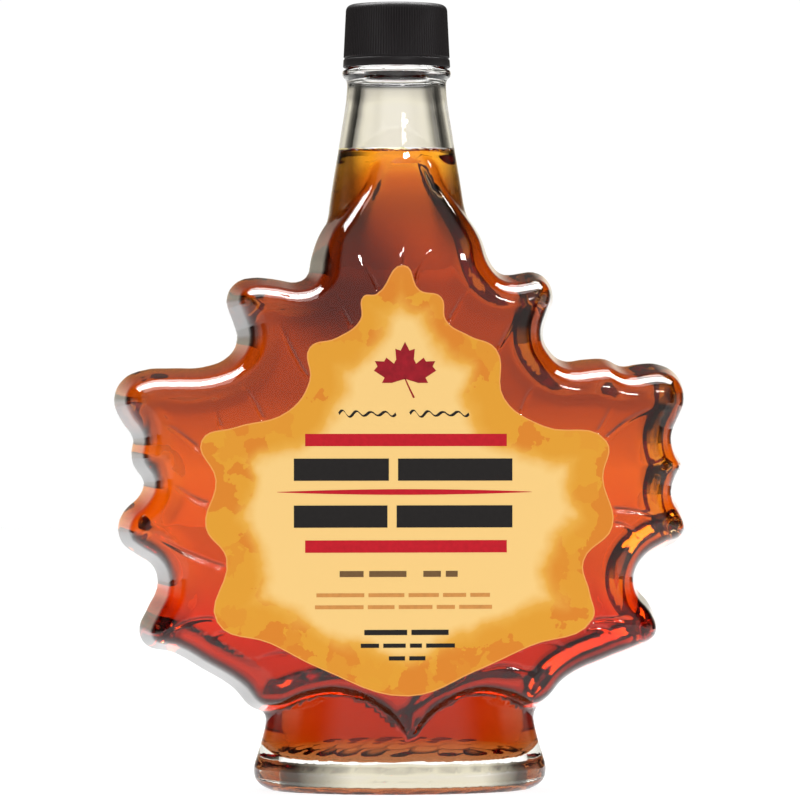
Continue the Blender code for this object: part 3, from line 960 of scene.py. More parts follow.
@dataclass(frozen=True)
class AmberDrink:
    """Clear amber whisky: golden where thin, deep red where thick; its tint by height holds painted
    light and shade, among them a painted browner shade below the neck.

    Only its free top bends light, since the glass does so where the drink wets it. Heights and
    widths are in mm: the tints by height, and the painted shade at the neck's sides from neck_low
    to neck_high.
    """

    index: float = 1.37
    body: Colour = (0.966, 0.70, 0.0)
    density: float = 150.0
    height_mm: float = 200.0
    # Painted light and shade: besides the amber colour, these tints are lighter or darker by height
    # where the drink looks lit or shaded.
    tints_and_painted_light: tuple[tuple[float, Colour], ...] = (
        (8.0, (0.40, 0.16, 0.06)),
        (16.0, (0.44, 0.12, 0.07)),
        (28.0, (0.48, 0.10, 0.08)),
        (42.0, (0.62, 0.12, 0.08)),
        (50.0, (0.80, 0.18, 0.12)),
        (60.0, (0.82, 0.44, 0.30)),
        (92.0, (0.88, 0.82, 0.60)),
        (114.0, (0.45, 0.33, 0.27)),
        (130.0, (0.50, 0.37, 0.28)),
        (150.0, (0.48, 0.32, 0.22)),
        (166.0, (0.36, 0.26, 0.17)),
        (175.0, (0.62, 0.43, 0.27)),
        (181.0, (1.00, 0.98, 0.60)),
    )
    # Painted shade: dark patches over the drink where it looks shaded, upper left below the neck
    # and low on both flanks.
    painted_shades: tuple[PaintedShade, ...] = (
        PaintedShade((0.14, 0.07, 0.07), -17.0, 146.0, 27.0, 8.0),
        PaintedShade((0.42, 0.05, 0.05), 58.0, 41.0, 10.0, 4.0),
        PaintedShade((0.36, 0.06, 0.08), 50.0, 37.0, 10.0, 4.0),
        PaintedShade((0.30, 0.05, 0.08), -69.0, 50.0, 9.0, 3.0),
    )
    # Painted shade: the drink darkened towards the neck's sides, where it looks shaded.
    painted_neck_shade: Colour = (0.05, 0.035, 0.02)
    painted_neck_shade_span: Point = (8.5, 13.5)
    neck_low: float = 150.0
    neck_high: float = 162.0
    top_low: float = 180.0
    top_slant: float = 0.3

    def material(self) -> bpy.types.Material:
        """The material, with its colour as plain absorption and a tint that changes with height,
        partly painted light and shade, with painted shade patches and painted shade at the neck's
        sides.
        """
        made, wiring, shader = new_material("amber_drink")
        place = wiring.place()
        axes = wiring.split(place)
        # Tint by height, partly the drink's colour and partly painted light and shade.
        height = wiring.math("MULTIPLY", axes["Z"], 1.0 / (self.height_mm * MM))
        tint = wiring.ramp(height, [(z / self.height_mm, colour) for z, colour in self.tints_and_painted_light])
        flat = wiring.vector("MULTIPLY", place, (1.0, 0.0, 1.0))
        # Painted shade patches laid over the tint.
        for shade in self.painted_shades:
            tint = shade.over(wiring, flat, tint)
        # Painted shade towards the neck's sides above neck_low.
        start, end = self.painted_neck_shade_span
        edge = wiring.run(wiring.math("ABSOLUTE", axes["X"]), (start * MM, end * MM), soft=True)
        high = wiring.run(axes["Z"], (self.neck_low * MM, self.neck_high * MM))
        tint = wiring.blend(wiring.math("MULTIPLY", edge, high), tint, self.painted_neck_shade)
        wiring.fill(shader, {"Base Color": tint, "IOR": self.index, **POLISHED})

        half = wiring.add("Gamma", {"Color": tint, "Gamma": 0.5}).outputs["Color"]
        wetting = wiring.add("BsdfTransparent", {"Color": half})
        normal = wiring.split(wiring.add("NewGeometry").outputs["Normal"])
        level = wiring.math("GREATER_THAN", wiring.math("ABSOLUTE", normal["Z"]), self.top_slant)
        near_top = wiring.math("GREATER_THAN", axes["Z"], self.top_low * MM)
        top = wiring.math("MULTIPLY", level, near_top)
        sides = {"Fac": top, 1: wetting.outputs["BSDF"], 2: shader.outputs["BSDF"]}
        wiring.finish("Surface", wiring.add("MixShader", sides))
        wiring.absorb(self.body, self.density)
        return made


@dataclass(frozen=True)
class BlackPlastic:
    """Satin black moulded plastic with a faint moulding grain."""

    colour: Colour = field(default_factory=lambda: srgb(31, 28, 29))
    specular: float = 0.13
    roughness: float = 0.42
    smoother: float = 0.06
    rougher: float = 0.08
    grain_scale: float = 900.0
    relief: float = 0.08
    relief_depth: float = 0.0001

    def material(self) -> bpy.types.Material:
        """The material."""
        made, wiring, shader = new_material("black_plastic")
        grain = wiring.noise(wiring.place(), self.grain_scale)["Fac"]
        spread = (self.roughness - self.smoother, self.roughness + self.rougher)
        looks = {
            "Base Color": self.colour,
            "Specular IOR Level": self.specular,
            "Roughness": wiring.run(grain, goal=spread),
            "Normal": wiring.bump(grain, self.relief, self.relief_depth),
        }
        wiring.fill(shader, looks)
        return made


@dataclass(frozen=True)
class LabelPaper:
    """Semi-gloss paper, cream in the middle, running into a golden border with orange blotches.

    The mesh carries the distance from the label's edge, in mm, under the name in edge_name. The
    widths are distances from the edge too, and the scales are cells for each metre.
    """

    edge_name: str = "edge_mm"
    cream: Colour = field(default_factory=lambda: srgb(244, 203, 128))
    glow: Colour = field(default_factory=lambda: srgb(232, 172, 72))
    gold: Colour = field(default_factory=lambda: srgb(224, 156, 48))
    blotch: Colour = field(default_factory=lambda: srgb(218, 130, 40))
    rim: Colour = field(default_factory=lambda: srgb(232, 158, 82))
    rim_width: float = 0.35
    gold_width: float = 6.6
    fade_width: float = 14.0
    wander: float = 9.0
    wander_scale: float = 75.0
    spire_gain: float = 4.5
    spire_low: float = 114.0
    spire_high: float = 136.0
    blotch_scale: float = 120.0
    blotch_span: Point = (0.35, 0.80)
    blotch_most: float = 0.95
    tear: float = 0.010
    tear_scale: float = 230.0
    glow_span: Point = (0.0, 0.55)
    cream_span: Point = (0.45, 1.0)
    specular: float = 0.15
    roughness: float = 0.5
    roughness_spread: float = 0.07
    fibre_scale: float = 1500.0
    relief: float = 0.12
    relief_depth: float = 0.00005

    def inward(self, wiring: Wiring, place: Socket, edge: Socket) -> Socket:
        """How far a place has left the golden border for the middle, from 0 to 1."""
        wander = wiring.noise(place, self.wander_scale, 3.0)["Fac"]
        shift = wiring.math("MULTIPLY_ADD", wander, self.wander, edge)
        heights = (self.spire_low * MM, self.spire_high * MM)
        spire = wiring.run(wiring.split(place)["Z"], heights, (0.0, self.spire_gain))
        ends = (self.gold_width + 0.5 * self.wander, self.fade_width + 0.5 * self.wander)
        return wiring.run(wiring.math("ADD", shift, spire), ends, soft=True)

    def border(self, wiring: Wiring, place: Socket) -> Socket:
        """The golden border's colour, with its ragged blotches."""
        ragged = wiring.noise(place, self.tear_scale, 5.0)["Color"]
        torn = wiring.vector("MULTIPLY_ADD", ragged, (self.tear,) * 3, place)
        cells = wiring.add("TexVoronoi", {"Vector": torn, "Scale": self.blotch_scale})
        chosen = wiring.add("SeparateColor", {"Color": cells.outputs["Color"]}).outputs["Red"]
        strength = wiring.run(chosen, self.blotch_span, (0.0, self.blotch_most))
        return wiring.blend(strength, self.gold, self.blotch)

    def material(self) -> bpy.types.Material:
        """The material."""
        made, wiring, shader = new_material("label_paper")
        edge = wiring.add("Attribute", attribute_name=self.edge_name).outputs["Fac"]
        place = wiring.place()
        inward = self.inward(wiring, place, edge)
        colour = self.border(wiring, place)
        colour = wiring.blend(wiring.run(inward, self.glow_span), colour, self.glow)
        colour = wiring.blend(wiring.run(inward, self.cream_span), colour, self.cream)
        colour = wiring.blend(wiring.math("LESS_THAN", edge, self.rim_width), colour, self.rim)
        fibres = wiring.noise(place, self.fibre_scale)["Fac"]
        spread = (self.roughness - self.roughness_spread, self.roughness + self.roughness_spread)
        looks = {
            "Base Color": colour,
            "Specular IOR Level": self.specular,
            "Roughness": wiring.run(fibres, goal=spread),
            "Normal": wiring.bump(fibres, self.relief, self.relief_depth),
        }
        wiring.fill(shader, looks)
        return made


@dataclass(frozen=True)
class PrintInk:
    """Printing ink: one colour with a faint mottle."""

    name: str
    colour: Colour
    mottle: float = 0.10
    mottle_scale: float = 700.0
    specular: float = 0.15
    roughness: float = 0.45

    def material(self) -> bpy.types.Material:
        """The material."""
        made, wiring, shader = new_material(self.name)
        share = wiring.noise(wiring.place(), self.mottle_scale, 3.0)["Fac"]
        gains = (1.0 - 2.0 * self.mottle, 1.0 + 2.0 * self.mottle)
        darker, lighter = (tuple(value * gain for value in self.colour) for gain in gains)
        looks = {
            "Base Color": wiring.blend(share, darker, lighter),
            "Specular IOR Level": self.specular,
            "Roughness": self.roughness,
        }
        wiring.fill(shader, looks)
        return made


# Pieces


@dataclass
class GlassBody:
    """The clear glass: one shell from the foot to the mouth, with veins cut into its front face."""

    form: BottleForm
    label_edge: Array
    grid: Grid = Grid(85.4, 30.1, -1.13, 188.0, 226.2, 1.4, 0.62)
    vein_least: float = 0.03
    vein_reach: float = 0.8
    vein_cuts: int = 3
    skin_reach: float = 0.4
    waterline: float = 184.8

    def net(self, front: FieldMap, back: FieldMap) -> NetSurface:
        """The surface of the shell, from the maps of its outer skin."""
        inside = self.form.skin_maps[Skin.INSIDE]
        groups: list[list[Side]] = [
            [SkinSide(front, back)],
            [SkinSide(inside, inside, hollow=True), DomeFloor(self.form.floor)],
            [Level(0.0, rising=False)],
            [Level(self.form.mouth)],
        ]
        return NetSurface(groups, self.grid)

    def build(self) -> None:
        """Makes the glass."""
        plain = self.form.skin_maps[Skin.OUTSIDE]
        points, faces = self.net(plain, plain).build()
        mesh = bpy.data.meshes.new("rough")
        mesh.from_pydata(points.tolist(), [], faces.tolist())
        rough = bmesh.new()
        rough.from_mesh(mesh)
        bpy.data.meshes.remove(mesh)
        veined = self.form.veined_map(self.label_edge)
        self.refine(rough, veined)
        points = np.array([vertex.co[:] for vertex in rough.verts])
        rings = [[vertex.index for vertex in face.verts] for face in rough.faces]
        rough.free()
        surface = self.net(veined, plain)
        points = surface.settle(points, rounds=4)
        piece = mesh_piece("bottle_glass", points, rings, "clear_glass", "glass_bottle")
        piece.data.normals_split_custom_set_from_vertices(surface.normals(points).tolist())
        glass = ClearGlass(self.waterline, AmberDrink.index)
        hollow = NetSurface(surface.groups[1:2], self.grid)
        away = np.abs(hollow.measure(points[:, 0], points[:, 1], points[:, 2])[0])
        mark_points(piece, glass.skin_name, away < self.skin_reach)
        dress(piece, glass.material())

    def refine(self, rough: bmesh.types.BMesh, veined: FieldMap) -> None:
        """Cuts the faces along the veins finer."""
        centres = np.array([face.calc_center_median()[:] for face in rough.faces])
        x, z = centres[:, 0], centres[:, 2]
        plain = self.form.skin_maps[Skin.OUTSIDE]
        depth = np.sqrt(np.maximum(plain.read(x, z), 1.0))
        near = np.zeros(len(centres), bool)
        reach = self.vein_reach
        for dx, dz in ((0.0, 0.0), (reach, 0.0), (-reach, 0.0), (0.0, reach), (0.0, -reach)):
            places = x + dx, z + dz
            cut = (plain.read(*places) - veined.read(*places)) / (2.0 * depth)
            near |= cut > self.vein_least
        near &= (np.abs(centres[:, 1] + depth) < reach) & (depth > self.form.vein_least_depth)
        edges = set()
        for face, chosen in zip(rough.faces, near):
            if chosen:
                edges.update(face.edges)
        bmesh.ops.subdivide_edges(rough, edges=list(edges), cuts=self.vein_cuts, use_grid_fill=True)
        rough.verts.index_update()


@dataclass
class Drink:
    """The whisky, filling the glass up to a curved level in the neck."""

    form: BottleForm
    level: float = 183.4
    floor_overlap: float = 0.15
    grid: Grid = Grid(81.75, 27.75, 4.1, 180.0, 189.0, 1.2, 0.6)

    def build(self) -> None:
        """Makes the drink."""
        skin = self.form.skin_maps[Skin.DRINK]
        groups: list[list[Side]] = [
            [SkinSide(skin, skin)],
            [DrinkTop(self.form.neck_x, self.level)],
            [DomeFloor(self.form.floor - self.floor_overlap, solid_below=False)],
        ]
        net = NetSurface(groups, self.grid)
        points, faces = net.build()
        piece = mesh_piece("whisky_fill", points, faces, "amber_drink", "whisky")
        piece.data.normals_split_custom_set_from_vertices(net.normals(points).tolist())
        dress(piece, AmberDrink().material())


@dataclass
class ScrewCap:
    """The ribbed cap: fine upright ribs above a plain band, and a rounded top edge."""

    middle: float
    bottom: float = 208.6
    top: float = 226.8
    radius: float = 15.5
    top_radius: float = 14.6
    band: float = 2.5
    edge: float = 1.9
    skin: float = 1.3
    hem: float = 0.25
    groove_depth: float = 0.3
    ribs: int = 120
    rib_depth: float = 0.24
    rib_sharpness: float = 1.5
    steps_a_rib: int = 6
    rim_steps: int = 8
    rim_fade: float = 2.2
    sharp_angle: float = math.radians(50.0)

    def reach(self, z: float) -> float:
        """The cap's outer radius at a height, before its ribs."""
        share = (z - self.bottom) / (self.top - self.bottom)
        return self.radius + (self.top_radius - self.radius) * share

    def levels(self) -> list[tuple[float, float, float]]:
        """Rows of (radius, height, share of the rib's depth), from inside the skirt to the top."""
        groove = self.bottom + self.band
        inside = self.radius - self.skin
        rows = [
            (inside, self.top - self.skin, 0.0),
            (inside, self.bottom + 0.2, 0.0),
            (inside + self.hem, self.bottom, 0.0),
            (self.radius - self.hem, self.bottom, 0.0),
            (self.radius, self.bottom + self.hem, 0.0),
            (self.reach(groove - 0.4), groove - 0.4, 0.0),
            (self.reach(groove - 0.2) - 0.12, groove - 0.15, 0.0),
            (self.reach(groove) - self.groove_depth, groove, 0.0),
            (self.reach(groove) - self.groove_depth, groove + 0.25, 0.0),
            (self.reach(groove + 0.5), groove + 0.5, 0.4),
            (self.reach(groove + 0.9), groove + 0.9, 1.0),
            (self.reach(self.top - self.edge - 0.6), self.top - self.edge - 0.6, 1.0),
        ]
        rim = self.reach(self.top - self.edge)
        for share in np.linspace(0.0, 1.0, self.rim_steps):
            angle = share * math.pi / 2
            radius = rim - self.edge * (1.0 - math.cos(angle))
            height = self.top - self.edge * (1.0 - math.sin(angle))
            rows.append((radius, height, max(0.0, 1.0 - self.rim_fade * share)))
        flat = rim - self.edge
        for radius, dip in ((flat - 1.2, 0.02), (flat - 2.0, 0.12), (4.0, 0.15)):
            rows.append((radius, self.top - dip, 0.0))
        return rows

    def build(self) -> None:
        """Makes the cap."""
        count = self.ribs * self.steps_a_rib
        angles = np.arange(count) * (2.0 * math.pi / count)
        groove = (0.5 - 0.5 * np.cos(angles * self.ribs)) ** self.rib_sharpness
        rows = []
        for radius, height, depth in self.levels():
            reach = radius - self.rib_depth * depth * groove
            x = self.middle + reach * np.cos(angles)
            rows.append(np.stack([x, reach * np.sin(angles), np.full(count, height)], axis=1))
        points = np.concatenate(rows)
        faces: list[list[int]] = []
        for row in range(len(rows) - 1):
            for k in range(count):
                after = (k + 1) % count
                low, high = row * count, (row + 1) * count
                faces.append([low + k, low + after, high + after, high + k])
        faces.append(list(range((len(rows) - 1) * count, len(rows) * count)))
        faces.append(list(range(count))[::-1])
        piece = mesh_piece("ribbed_cap", points, faces, "black_plastic", "screw_cap")
        piece.data.set_sharp_from_angle(angle=self.sharp_angle)
        dress(piece, BlackPlastic().material())


@dataclass
class FrontLabel:
    """The label: a thin plate that lies on the glass face, with raised print of plain shapes."""

    form: BottleForm
    gap: float = 0.02
    thickness: float = 0.15
    ink: float = 0.03
    ink_gap: float = 0.005
    steps: int = 6
    mesh_step: float = 1.1
    sharp_angle: float = math.radians(40.0)
    edge: tuple[Point, ...] = (
        (-1.1, 150.8), (-8.9, 142.6), (-12.7, 141.9), (-13.6, 135.2), (-20.4, 130.1),
        (-28.0, 127.3), (-28.0, 117.9), (-34.0, 109.4), (-49.0, 104.8), (-58.6, 101.0),
        (-54.6, 89.8), (-57.4, 76.4), (-51.6, 67.7), (-54.2, 49.6), (-39.1, 43.5), (-24.8, 36.3),
        (0.2, 28.4), (19.7, 35.6), (34.9, 42.5), (52.8, 50.1), (52.0, 57.6), (50.2, 66.6),
        (58.5, 76.5), (55.8, 90.3), (56.8, 100.8), (38.6, 105.2), (27.5, 113.0), (25.2, 127.0),
        (17.5, 130.8), (11.0, 135.0), (9.5, 141.8), (3.3, 143.8),
    )
    emblem_place: Point = (-0.8, 116.6)
    emblem_size: float = 12.4
    emblem_spread: float = 1.02
    emblem_half: tuple[Point, ...] = (
        (0.0, 1.0), (0.10, 0.80), (0.22, 0.84), (0.20, 0.60), (0.25, 0.50), (0.42, 0.64),
        (0.47, 0.55), (0.68, 0.56), (0.62, 0.44), (0.70, 0.34), (0.46, 0.18), (0.52, 0.06),
        (0.30, 0.06), (0.04, 0.14),
    )
    stem: tuple[Point, ...] = ((0.0, 0.16), (0.06, 0.02), (0.13, -0.13), (0.2, -0.28))
    stem_half: tuple[float, ...] = (0.012, 0.016, 0.018, 0.022)
    stem_slant: float = 0.3
    rule_steps: int = 17
    rule_end: float = 0.05
    turn_steps: int = 12
    stroke_thin: float = 0.22
    stroke_swell: float = 0.16
    stroke_slant: float = 0.18

    def __post_init__(self) -> None:
        """Works out the label's smooth edge."""
        self.line = smooth_line(self.edge, self.steps)

    def face(self, points: Sequence[Point]) -> Array:
        """How far forward the glass face lies at some places, in mm."""
        places = np.array(points, float)
        square = self.form.skin_maps[Skin.OUTSIDE].read(places[:, 0], places[:, 1])
        return np.sqrt(np.maximum(square, 1.0))

    def plate(
        self, outlines: Sequence[Array], low: float, high: float, inner: Array | None = None
    ) -> tuple[Array, list]:
        """Points and faces of flat shapes that lie on the glass face.

        Args:
            outlines: The closed edge of each shape, as (x, z) rows in mm.
            low: How far the shapes' backs stand off the glass, in mm.
            high: How far their fronts stand off it, in mm.
            inner: More points within the only shape, as (x, z) rows.

        Returns:
            The points, and the point numbers of each face.
        """
        rows, faces, start = [], [], 0
        for outline in outlines:
            spots = np.asarray(outline, float)
            after = np.roll(spots, -1, axis=0)
            if np.sum(spots[:, 0] * after[:, 1] - after[:, 0] * spots[:, 1]) < 0.0:
                spots = spots[::-1]
            count = len(spots)
            every = spots if inner is None else np.concatenate([spots, inner])
            ring = [(k, (k + 1) % count) for k in range(count)]
            vectors = [Vector(spot) for spot in every]
            found = geometry.delaunay_2d_cdt(vectors, ring, [], 0, 1e-6, True)
            flat = np.array([spot[:] for spot in found[0]])
            middles = np.array([flat[list(face)].mean(axis=0) for face in found[2]])
            kept = line_distance(middles[:, 0], middles[:, 1], spots) > 0.0
            triangles = [list(face) for face, inside in zip(found[2], kept) if inside]
            origins = {source: k for k, sources in enumerate(found[3]) for source in sources}
            depth = self.face(flat)
            total = len(flat)
            for height in (high, low):
                rows.append(np.stack([flat[:, 0], -(depth + height), flat[:, 1]], axis=1))
            for a, b, c in triangles:
                faces.append([start + a, start + b, start + c])
                faces.append([start + total + c, start + total + b, start + total + a])
            for k in range(count):
                a, b = origins[k], origins[(k + 1) % count]
                faces.append([start + b, start + a, start + total + a, start + total + b])
            start += 2 * total
        return np.concatenate(rows), faces

    def build_plate(self) -> None:
        """Makes the paper."""
        low, high = self.line.min(axis=0), self.line.max(axis=0)
        across, up = map_places(low[0], high[0], low[1], high[1], self.mesh_step)
        across[:, ::2] += self.mesh_step / 2
        reach = line_distance(across, up, self.line)
        chosen = reach > 0.5 * self.mesh_step
        inner = np.stack([across[chosen], up[chosen]], axis=1)
        points, faces = self.plate([self.line], self.gap, self.gap + self.thickness, inner)
        piece = mesh_piece("front_label", points, faces, "label_paper", "label")
        piece.data.set_sharp_from_angle(angle=self.sharp_angle)
        paper = LabelPaper()
        spots = np.array([vertex.co[:] for vertex in piece.data.vertices]) / MM
        reach = np.maximum(line_distance(spots[:, 0], spots[:, 2], self.line), 0.0)
        mark_points(piece, paper.edge_name, reach)
        dress(piece, paper.material())

    def print_shapes(self, name: str, outlines: Sequence[Array], ink: PrintInk) -> None:
        """Prints one colour's shapes on the paper."""
        low = self.gap + self.thickness + self.ink_gap
        points, faces = self.plate(outlines, low, low + self.ink)
        piece = mesh_piece(name, points, faces, "label_paper")
        piece.data.set_sharp_from_angle(angle=self.sharp_angle)
        dress(piece, ink.material())

    def bars(self, rows: Sequence[tuple[float, float, float, tuple[float, ...]]]) -> list[Array]:
        """Plain upright-ended bars.

        Args:
            rows: Each line's left end, lower edge and height, and its bars' and gaps' lengths.

        Returns:
            One outline for each bar.
        """
        outlines = []
        for left, low, height, lengths in rows:
            place = left
            for k, length in enumerate(lengths):
                end = place + length
                if k % 2 == 0:
                    high = low + height
                    corners = ((place, low), (end, low), (end, high), (place, high))
                    outlines.append(np.array(corners))
                place = end
        return outlines

    def emblem(self) -> list[Array]:
        """A plain pointed leaf with its stem."""
        right = np.array(self.emblem_half)
        left = right[1:][::-1] * (-1.0, 1.0)
        stem = np.array(self.stem)
        half = np.array(self.stem_half)[:, None] * (1.0, self.stem_slant)
        shapes = (np.concatenate([right, left]), np.concatenate([stem + half, (stem - half)[::-1]]))
        spread = (self.emblem_spread, 1.0)
        return [shape * self.emblem_size * spread + self.emblem_place for shape in shapes]

    def rule(self, middle: Point, half_length: float, half_height: float) -> Array:
        """A long rule that tapers to both ends."""
        share = np.linspace(-1.0, 1.0, self.rule_steps)
        x = middle[0] + half_length * share
        half = half_height * (1.0 - share * share) + self.rule_end
        lower, upper = (np.stack([x, middle[1] + side * half], axis=1) for side in (-1.0, 1.0))
        return np.concatenate([lower, upper[::-1]])

    def flourish(self, left: float, right: float, height: float, swing: float, turns: int) -> Array:
        """A thin waved stroke in the place of a handwritten line."""
        share = np.linspace(0.0, 1.0, self.turn_steps * turns)
        x = left + (right - left) * share
        angle = 2.0 * math.pi * turns * share
        z = height + swing * np.sin(angle) * (0.75 + 0.25 * np.cos(5.0 * share))
        width = self.stroke_thin + self.stroke_swell * np.abs(np.cos(angle))
        lower = np.stack([x + self.stroke_slant, z - width], axis=1)
        upper = np.stack([x - self.stroke_slant, z + width], axis=1)
        return np.concatenate([lower, upper[::-1]])

    def build_print(self) -> None:
        """Prints the emblem, the rule and the plain bars."""
        dark = PrintInk("print_dark", srgb(30, 27, 26))
        red = PrintInk("print_red", srgb(190, 20, 36))
        wine = PrintInk("print_wine", srgb(150, 20, 34), 0.25, 420.0)
        brown = PrintInk("print_brown", srgb(112, 84, 52))
        tan = PrintInk("print_tan", srgb(206, 142, 74))
        headings = (
            (-32.4, 89.6, 6.3, (27.0, 2.6, 32.6)),
            (-32.4, 76.3, 6.3, (26.6, 2.6, 33.0)),
        )
        ends = ((-19.6, -3.4), (0.6, 17.4))
        strokes = [self.flourish(left, right, 108.6, 1.0, 4) for left, right in ends]
        bands = ((-29.2, 99.4, 3.5, (57.4,)), (-29.2, 69.2, 3.5, (57.4,)))
        small = ((-19.4, 62.3, 1.7, (6.8, 1.6, 10.6)), (4.4, 62.3, 1.7, (5.0, 1.4, 3.4)))
        fine = (
            (-26.0, 56.6, 1.1, (13.6, 1.2, 10.2, 1.2, 8.6, 1.2, 6.6, 1.2, 5.6)),
            (-26.4, 53.2, 1.1, (13.8, 1.2, 7.6, 1.2, 9.6, 1.2, 5.2, 1.2, 9.4)),
        )
        foot = (
            (-12.4, 45.8, 1.5, (12.2, 1.2, 10.6)),
            (-13.4, 42.2, 1.2, (5.2, 1.2, 6.4, 1.2, 3.4, 1.2, 8.2)),
            (-5.4, 38.6, 1.2, (4.6, 1.2, 4.6)),
        )
        prints = (
            ("label_headings", self.bars(headings), dark),
            ("label_flourish", strokes, dark),
            ("label_red_print", [*self.bars(bands), self.rule((-0.9, 86.4), 36.2, 0.75)], red),
            ("label_emblem", self.emblem(), wine),
            ("label_small_lines", self.bars(small), brown),
            ("label_fine_lines", self.bars(fine), tan),
            ("label_foot_lines", self.bars(foot), dark),
        )
        for name, outlines, ink in prints:
            self.print_shapes(name, outlines, ink)

    def build(self) -> None:
        """Makes the label and its print."""
        self.build_plate()
        self.build_print()


# Studio


@dataclass(frozen=True)
class SoftLight:
    """An area light out of the camera's sight, in metres and watts; a shine only reflects."""

    name: str
    place: Spot
    size: Point
    power: float
    target: Spot
    shine: bool = False

    def build(self) -> None:
        """Hangs the light."""
        data = bpy.data.lights.new(self.name, "AREA")
        data.shape = "RECTANGLE"
        data.size, data.size_y = self.size
        data.energy = self.power
        lamp = bpy.data.objects.new(self.name, data)
        lamp.location = self.place
        aim = Vector(self.target) - Vector(self.place)
        lamp.rotation_euler = aim.to_track_quat("-Z", "Y").to_euler()
        lamp.visible_camera = False
        if self.shine:
            lamp.visible_diffuse = False
            lamp.visible_transmission = False
        bpy.context.scene.collection.objects.link(lamp)


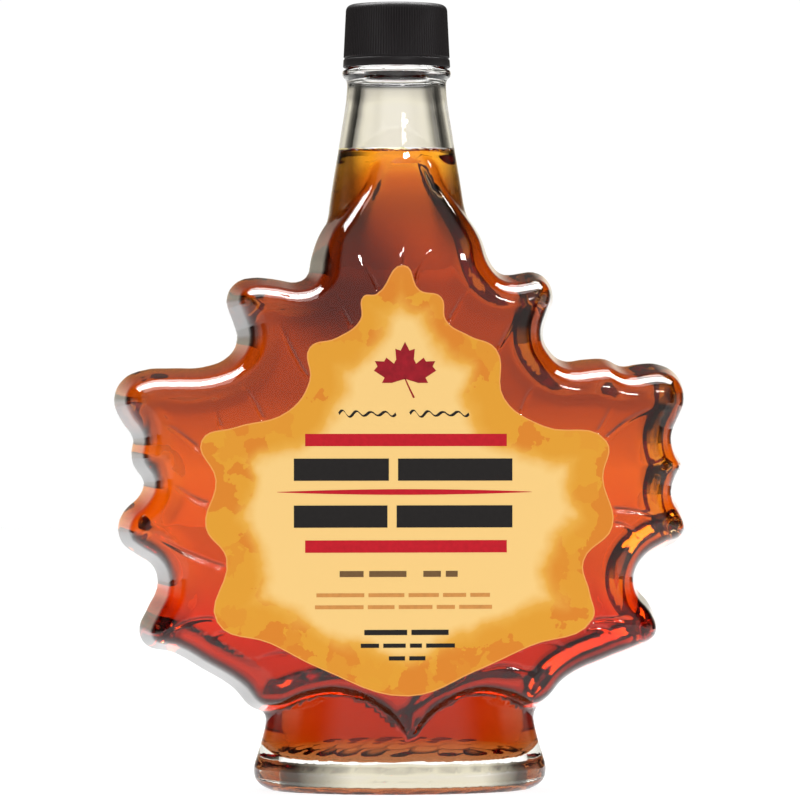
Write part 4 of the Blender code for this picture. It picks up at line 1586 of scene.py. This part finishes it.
@dataclass
class Studio:
    """White studio: pale floor, soft lights and the camera of the photograph.

    The surround's light is given by the angle from straight behind the bottle, in degrees, times
    its colour by the angle above level; in front it is the even colour of front.
    """

    eye_height: float = 0.1125
    distance: float = 1.447
    yaw: float = math.radians(4.5)
    lens: float = 225.0
    sensor: float = 36.0
    floor_low: Point = (-0.5, -0.6)
    floor_high: Point = (0.5, 3.0)
    floor_grey: float = 0.16
    floor_roughness: float = 0.9
    floor_glow: float = 0.92
    white: float = 1.02
    bounces: int = 24
    glossy_bounces: int = 8
    transparent_bounces: int = 16
    around: tuple[Point, ...] = (
        (0.0, 1.0), (15.0, 1.0), (24.0, 0.45), (36.0, 0.08), (54.0, 0.05), (68.0, 0.70),
        (104.0, 0.80), (114.0, 0.10), (180.0, 0.10),
    )
    above: tuple[tuple[float, Colour], ...] = (
        (-90.0, (1.0, 1.0, 1.0)),
        (-1.0, (1.28, 1.26, 1.22)),
        (0.4, (1.08, 1.04, 0.97)),
        (1.8, (0.90, 0.85, 0.74)),
        (5.0, (0.92, 0.86, 0.69)),
        (9.0, (0.56, 0.52, 0.44)),
        (15.0, (0.10, 0.10, 0.09)),
        (90.0, (0.08, 0.08, 0.08)),
    )
    front: Colour = (0.70, 0.70, 0.70)
    ahead_span: Point = (-0.20, -0.55)
    ahead_width_span: Point = (0.80, 0.50)
    lights: tuple[SoftLight, ...] = (
        SoftLight("key", (0.37, -1.46, 0.86), (0.30, 0.12), 6.5, (0.0, 0.0, 0.1125)),
        SoftLight("soft_top", (-0.1, 0.45, 1.45), (1.7, 1.9), 40.0, (-0.05, 0.3, 0.0)),
        SoftLight("shine", (0.0, 0.4, 1.5), (2.4, 0.9), 120.0, (0.0, 0.4, 0.0), shine=True),
    )

    def camera(self) -> None:
        """Places the camera, level with the bottle's middle and a little to its left."""
        data = bpy.data.cameras.new("camera")
        data.lens = self.lens
        data.sensor_width = self.sensor
        camera = bpy.data.objects.new("camera", data)
        across, back = self.distance * math.sin(self.yaw), self.distance * math.cos(self.yaw)
        camera.location = (-across, -back, self.eye_height)
        camera.rotation_euler = (math.pi / 2, 0.0, -self.yaw)
        bpy.context.scene.collection.objects.link(camera)
        bpy.context.scene.camera = camera

    def floor(self) -> None:
        """A wide pale floor."""
        mesh = bpy.data.meshes.new("studio_floor")
        (left, near), (right, far) = self.floor_low, self.floor_high
        corners = ((left, near, 0.0), (right, near, 0.0), (right, far, 0.0), (left, far, 0.0))
        mesh.from_pydata(corners, [], [(0, 1, 2, 3)])
        floor = bpy.data.objects.new("studio_floor", mesh)
        bpy.context.scene.collection.objects.link(floor)
        made, wiring, shader = new_material("pale_floor")
        looks = {
            "Base Color": (self.floor_grey,) * 3,
            "Roughness": self.floor_roughness,
            "Emission Color": (1.0, 1.0, 1.0),
            "Emission Strength": self.floor_glow,
        }
        wiring.fill(shader, looks)
        dress(floor, made)

    def world(self) -> None:
        """White for the camera; the glass meets a bright back and darker sides, for its edges."""
        world = bpy.data.worlds.new("studio")
        bpy.context.scene.world = world
        world.use_nodes = True
        wiring = Wiring(world.node_tree)
        axes = wiring.split(wiring.place("Generated"))
        turn = wiring.math("ABSOLUTE", wiring.math("ARCTAN2", axes["X"], axes["Y"]))
        level_rows = [(angle / 180.0, (level,) * 3) for angle, level in self.around]
        around = wiring.ramp(wiring.math("MULTIPLY", turn, 1.0 / math.pi), level_rows)
        rows = [(0.5 + 0.5 * math.sin(math.radians(angle)), colour) for angle, colour in self.above]
        above = wiring.ramp(wiring.run(axes["Z"], (-1.0, 1.0)), rows)
        both = wiring.blend(1.0, around, above, kind="MULTIPLY")
        ahead = wiring.run(axes["Y"], self.ahead_span, soft=True)
        narrow = wiring.run(wiring.math("ABSOLUTE", axes["X"]), self.ahead_width_span, soft=True)
        filled = wiring.blend(wiring.math("MULTIPLY", ahead, narrow), both, self.front)
        seen = wiring.add("LightPath").outputs["Is Camera Ray"]
        shown = wiring.blend(seen, filled, (self.white,) * 3)
        wiring.fill(world.node_tree.nodes["Background"], {"Color": shown})

    def build(self) -> None:
        """Sets up the whole studio."""
        self.camera()
        self.floor()
        self.world()
        for light in self.lights:
            light.build()
        scene = bpy.context.scene
        scene.view_settings.view_transform = "Standard"
        scene.cycles.max_bounces = self.bounces
        scene.cycles.transmission_bounces = self.bounces
        scene.cycles.glossy_bounces = self.glossy_bounces
        scene.cycles.transparent_max_bounces = self.transparent_bounces
        scene.cycles.use_denoising = True


def main() -> None:
    """Builds the bottle's pieces and the studio."""
    logging.basicConfig(level=logging.INFO, format="%(message)s")
    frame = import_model()
    log.info("frame has %d nodes", len(frame["nodes"]))
    Studio().build()
    form = BottleForm()
    label = FrontLabel(form)
    GlassBody(form, label.line).build()
    Drink(form).build()
    ScrewCap(form.neck_x).build()
    label.build()


if __name__ == "__main__":
    main()
